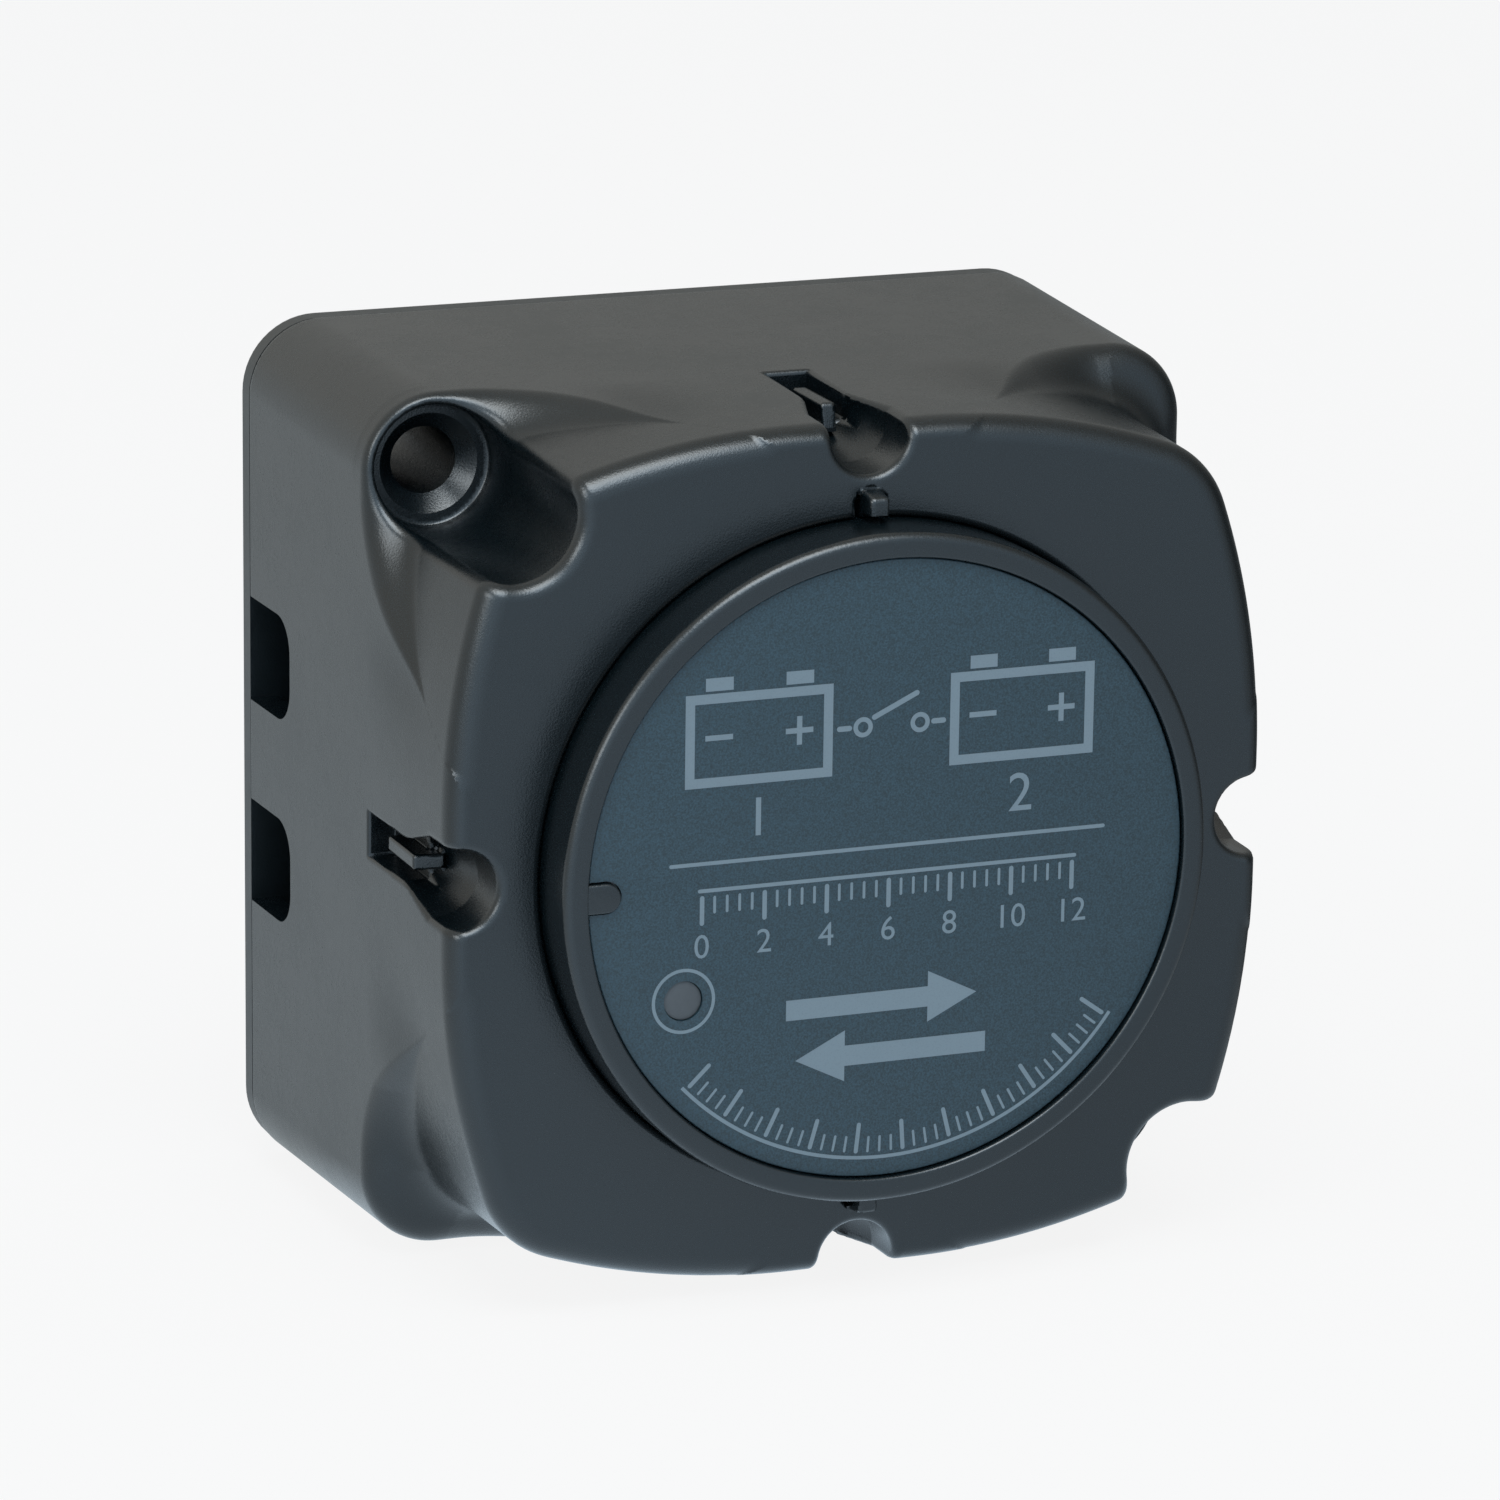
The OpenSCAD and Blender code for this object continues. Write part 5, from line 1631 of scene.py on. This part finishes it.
def fit_out(finishes: dict[str, Material]) -> None:
    """Build the studs, nuts, screws, springs, winding and board parts."""
    studs = ((-12.0, 8.25), (12.0, -8.25))
    for name, place in zip(("input_stud", "output_stud"), studs):
        Stud(name, *place).build(finishes["stud_tinned"])
    Nuts(studs).build(finishes["zinc_steel"])
    sides = [(26.8, 0.0), (0.0, 26.8), (-26.8, 0.0), (0.0, -26.8)]
    zinc, spring = finishes["zinc_steel"], finishes["spring_steel"]
    Screw("base_screws", sides, 15.5, 23.9).build(zinc, "zinc_steel")
    Screw("frame_screws", ((10.4, 12.9), (-10.4, -12.9)), 15.5, 34.4).build(zinc, "zinc_steel")
    corners = ((27.2, 27.2), (-27.2, -27.2))
    sunk = Screw("cover_screws", corners, 0.1, 10.6, drive=Drive.SUNK, head_t=1.4)
    sunk.build(zinc, "zinc_steel")
    sizes = (2.9, 0.22, 4.5, 35.25, 40.25)
    Spring("return_spring", *sizes, "body", "plunger_slide", 35.25, 0.4).build(spring)
    sizes = (2.5, 0.22, 3.0, 29.4, 31.45)
    Spring("contact_spring", *sizes, "armature", "bridge_give", 31.45, 0.7).build(spring)
    Winding().build(finishes["winding_tape"])
    BoardParts().build(finishes)


# ---------------------------------------------------------------- carried-over nodes


FINISHED_IN = {
    "cover_black": "rear_cover",
    "board_green": "circuit_board",
    "led_red": "status_led",
    "chip_black": "controller_chip driver_transistor board_resistors",
    "capacitor_yellow": "board_capacitor",
    "brass": "board_standoffs sense_posts",
    "zinc_steel": "board_screws plunger_rod spring_collar base_screws "
    "frame_screws stud_washers stud_nuts cover_screws",
    "tinned": "coil_pins",
    "bobbin_cream": "coil_bobbin",
    "winding_tape": "coil_winding",
    "frame_steel": "yoke_frame end_plate fixed_core plunger",
    "spring_steel": "return_spring contact_spring retaining_clip stud_spring_washers",
    "insulator_red": "rod_insulator",
    "copper": "contact_bridge",
    "silver_contact": "moving_contacts fixed_contacts",
    "stud_tinned": "input_stud output_stud",
    "base_phenolic": "terminal_base",
    "gasket_black": "base_gasket",
}
NODE_FINISH = {node: name for name, nodes in FINISHED_IN.items() for node in nodes.split()}


def dress_nodes(finishes: dict[str, Material]) -> None:
    """Give every carried-over node its finish."""
    for name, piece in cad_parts.items():
        wanted = NODE_FINISH.get(name)
        if wanted is None:
            continue
        if not piece.material_slots:
            piece.data.materials.append(finishes[wanted])
        for holder in piece.material_slots:
            holder.material = finishes[wanted]
        LOG.info("%s: %s", name, wanted)


# ---------------------------------------------------------------- studio


@dataclass
class Studio:
    """Pale floor, soft lamps and the camera at the photograph's angle."""

    azimuth: float = 21.783
    elevation: float = 15.178
    roll: float = 0.772
    focal: float = 7379.0
    frame_px: float = 1500.0
    centre: tuple[float, float, float] = (-206.835, -539.720, 153.253)
    gloss_side: float = 0.60
    gloss_fall: float = 0.52
    gloss_rise: float = 0.25
    gloss_front: float = 0.86
    gloss_least: float = 0.04
    front_tint: Colour = (0.80, 1.0, 1.18)
    low_tint: Colour = (0.89, 1.0, 1.06)
    high_tint: Colour = (1.0, 1.0, 0.94)
    gloss_spots: tuple[tuple[Colour, float, float, float], ...] = (
        ((-0.05, -0.50, 0.86), 0.90, 0.06, 5.5),
        ((-0.82, -0.44, 0.36), 0.955, 0.03, 4.0),
    )
    aim: Colour = (0, -0.025, 0)
    lamp_tint: Colour = (0.94, 0.98, 1.0)
    fill: float = 0.30
    fill_tint: Colour = (0.86, 1.0, 1.10)

    def camera(self) -> None:
        """Set the camera."""
        az, el, roll = (math.radians(v) for v in (self.azimuth, self.elevation, self.roll))
        right = Vector((math.cos(az), -math.sin(az), 0))
        ahead = Vector((math.sin(az) * math.cos(el), math.cos(az) * math.cos(el), -math.sin(el)))
        down = ahead.cross(right)
        x = math.cos(roll) * right - math.sin(roll) * down
        y = -(math.sin(roll) * right + math.cos(roll) * down)
        data = bpy.data.cameras.new("photo_camera")
        data.sensor_width = 36.0
        data.lens = self.focal / self.frame_px * 36.0
        data.clip_start, data.clip_end = 0.02, 30.0
        camera = bpy.data.objects.new("photo_camera", data)
        bpy.context.scene.collection.objects.link(camera)
        turn = Matrix((x, y, -ahead)).transposed().to_4x4()
        camera.matrix_world = Matrix.Translation(Vector(self.centre) * MM) @ turn
        bpy.context.scene.camera = camera

    def surroundings(self, bench: Bench, way: Wire) -> tuple[Wire, Wire]:
        """Look of the surroundings in gloss: darker to the right, bright and cool in front.

        Args:
            bench: the material's or the world's bench.
            way: unit direction from the object.

        Returns:
            Colour and strength.
        """
        parts = bench.tree.nodes.new("ShaderNodeSeparateXYZ")
        bench.tree.links.new(way.socket, parts.inputs[0])
        side, back, up = (Wire(bench, parts.outputs[n]) for n in range(3))
        front = bench.clamp(-1.4 * back - 0.1)
        level = self.gloss_side - self.gloss_fall * side + self.gloss_rise * up
        level = bench.clamp(level, self.gloss_least, 1.0) + front * self.gloss_front
        for place, edge, soft, bright in self.gloss_spots:
            dot = {"operation": "DOT_PRODUCT"}
            toward = bench.node("VectorMath", {0: way, 1: place}, dot, out="Value")
            level = level + bench.clamp((toward - edge) / soft) * bright
        behind = bench.mix(bench.clamp(0.5 + 2.0 * up), self.low_tint, self.high_tint)
        return bench.mix(front, behind, self.front_tint), level

    def world(self) -> None:
        """Surroundings: white to the camera, shaped in gloss and even for diffuse light."""
        world = bpy.data.worlds.new("studio")
        bpy.context.scene.world = world
        world.use_nodes = True
        bench = Bench(world.node_tree)
        tint, level = self.surroundings(bench, bench.node("TexCoord", out="Generated"))
        path = bench.tree.nodes.new("ShaderNodeLightPath")
        seen, gloss = (Wire(bench, path.outputs[n]) for n in ("Is Camera Ray", "Is Glossy Ray"))
        white = (1.0, 1.0, 1.0)
        tint = bench.mix(seen, bench.mix(gloss, self.fill_tint, tint), white)
        strength = self.fill + gloss * (level - self.fill)
        strength = strength + seen * (1.0 - strength)
        shader = bench.node("Background", {"Color": tint, "Strength": strength})
        end = bench.tree.nodes.new("ShaderNodeOutputWorld")
        bench.tree.links.new(shader.socket, end.inputs["Surface"])

    def floor(self, level: float) -> None:
        """Plain pale floor that turns up into a backdrop far behind."""
        width, near, far, high, r = 4.0, -2.5, 2.0, 2.5, 0.6
        bend = np.radians(np.arange(0, 91, 10))
        curve = [(far - r + r * math.sin(a), r - r * math.cos(a)) for a in bend]
        rows = [(near, 0.0), *curve, (far, high)]
        points = [(s * width, y, level + z) for y, z in rows for s in (-1, 1)]
        faces = [(2 * n, 2 * n + 1, 2 * n + 3, 2 * n + 2) for n in range(len(rows) - 1)]
        sweep = from_mesh("studio_floor", points, faces)
        smooth(sweep, 60)
        material, bench = new_bench("floor_white")
        path = bench.tree.nodes.new("ShaderNodeLightPath")
        seen, gloss = (Wire(bench, path.outputs[n]) for n in ("Is Camera Ray", "Is Glossy Ray"))
        way = bench.node("VectorMath", {0: bench.place()}, {"operation": "NORMALIZE"})
        tint, strength = self.surroundings(bench, way)
        paint = bench.node("BsdfDiffuse", {"Color": (0.85, 0.85, 0.85)})
        glow = bench.node("Emission", {"Color": (1.0, 1.0, 1.0), "Strength": 1.0})
        sheen = bench.node("Emission", {"Color": tint, "Strength": strength})
        shader = bench.node("MixShader", {0: gloss * 0.85, 1: paint, 2: sheen})
        shader = bench.node("MixShader", {0: seen * 0.88, 1: shader, 2: glow})
        bench.node_output(shader)
        sweep.data.materials.append(material)

    def lamp(self, name: str, place: Colour, size: Point2, power: float) -> None:
        """Soft area lamp aimed at the object."""
        data = bpy.data.lights.new(name, "AREA")
        data.shape = "RECTANGLE"
        data.size, data.size_y = size
        data.energy = power
        data.color = self.lamp_tint
        lamp = bpy.data.objects.new(name, data)
        bpy.context.scene.collection.objects.link(lamp)
        lamp.location = place
        aim = Vector(self.aim) - Vector(place)
        lamp.rotation_euler = aim.to_track_quat("-Z", "Y").to_euler()

    def build(self) -> None:
        """Build the studio."""
        self.camera()
        self.world()
        self.floor(CAD_BOX[0][2])
        self.lamp("softbox_top", (-0.10, -0.45, 0.86), (0.60, 0.50), 3.4)
        self.lamp("softbox_left", (-0.78, -0.35, 0.42), (0.40, 0.40), 1.2)
        scene = bpy.context.scene
        scene.view_settings.view_transform = "Standard"


# ---------------------------------------------------------------- all together


def main() -> None:
    """Build every sub-assembly in order and report each piece."""
    logging.basicConfig(level=logging.INFO, format="%(name)s: %(message)s")
    finishes = Finishes().make()
    Studio().build()
    Housing().build(finishes["housing_black"])
    cap = FrontCap()
    cap.build(finishes["cap_black"])
    Label(cap).build(finishes["label_slate"], finishes["window_smoke"])
    LabelArt().build(finishes["label_ink"])
    fit_out(finishes)
    dress_nodes(finishes)


if __name__ == "__main__":
    main()
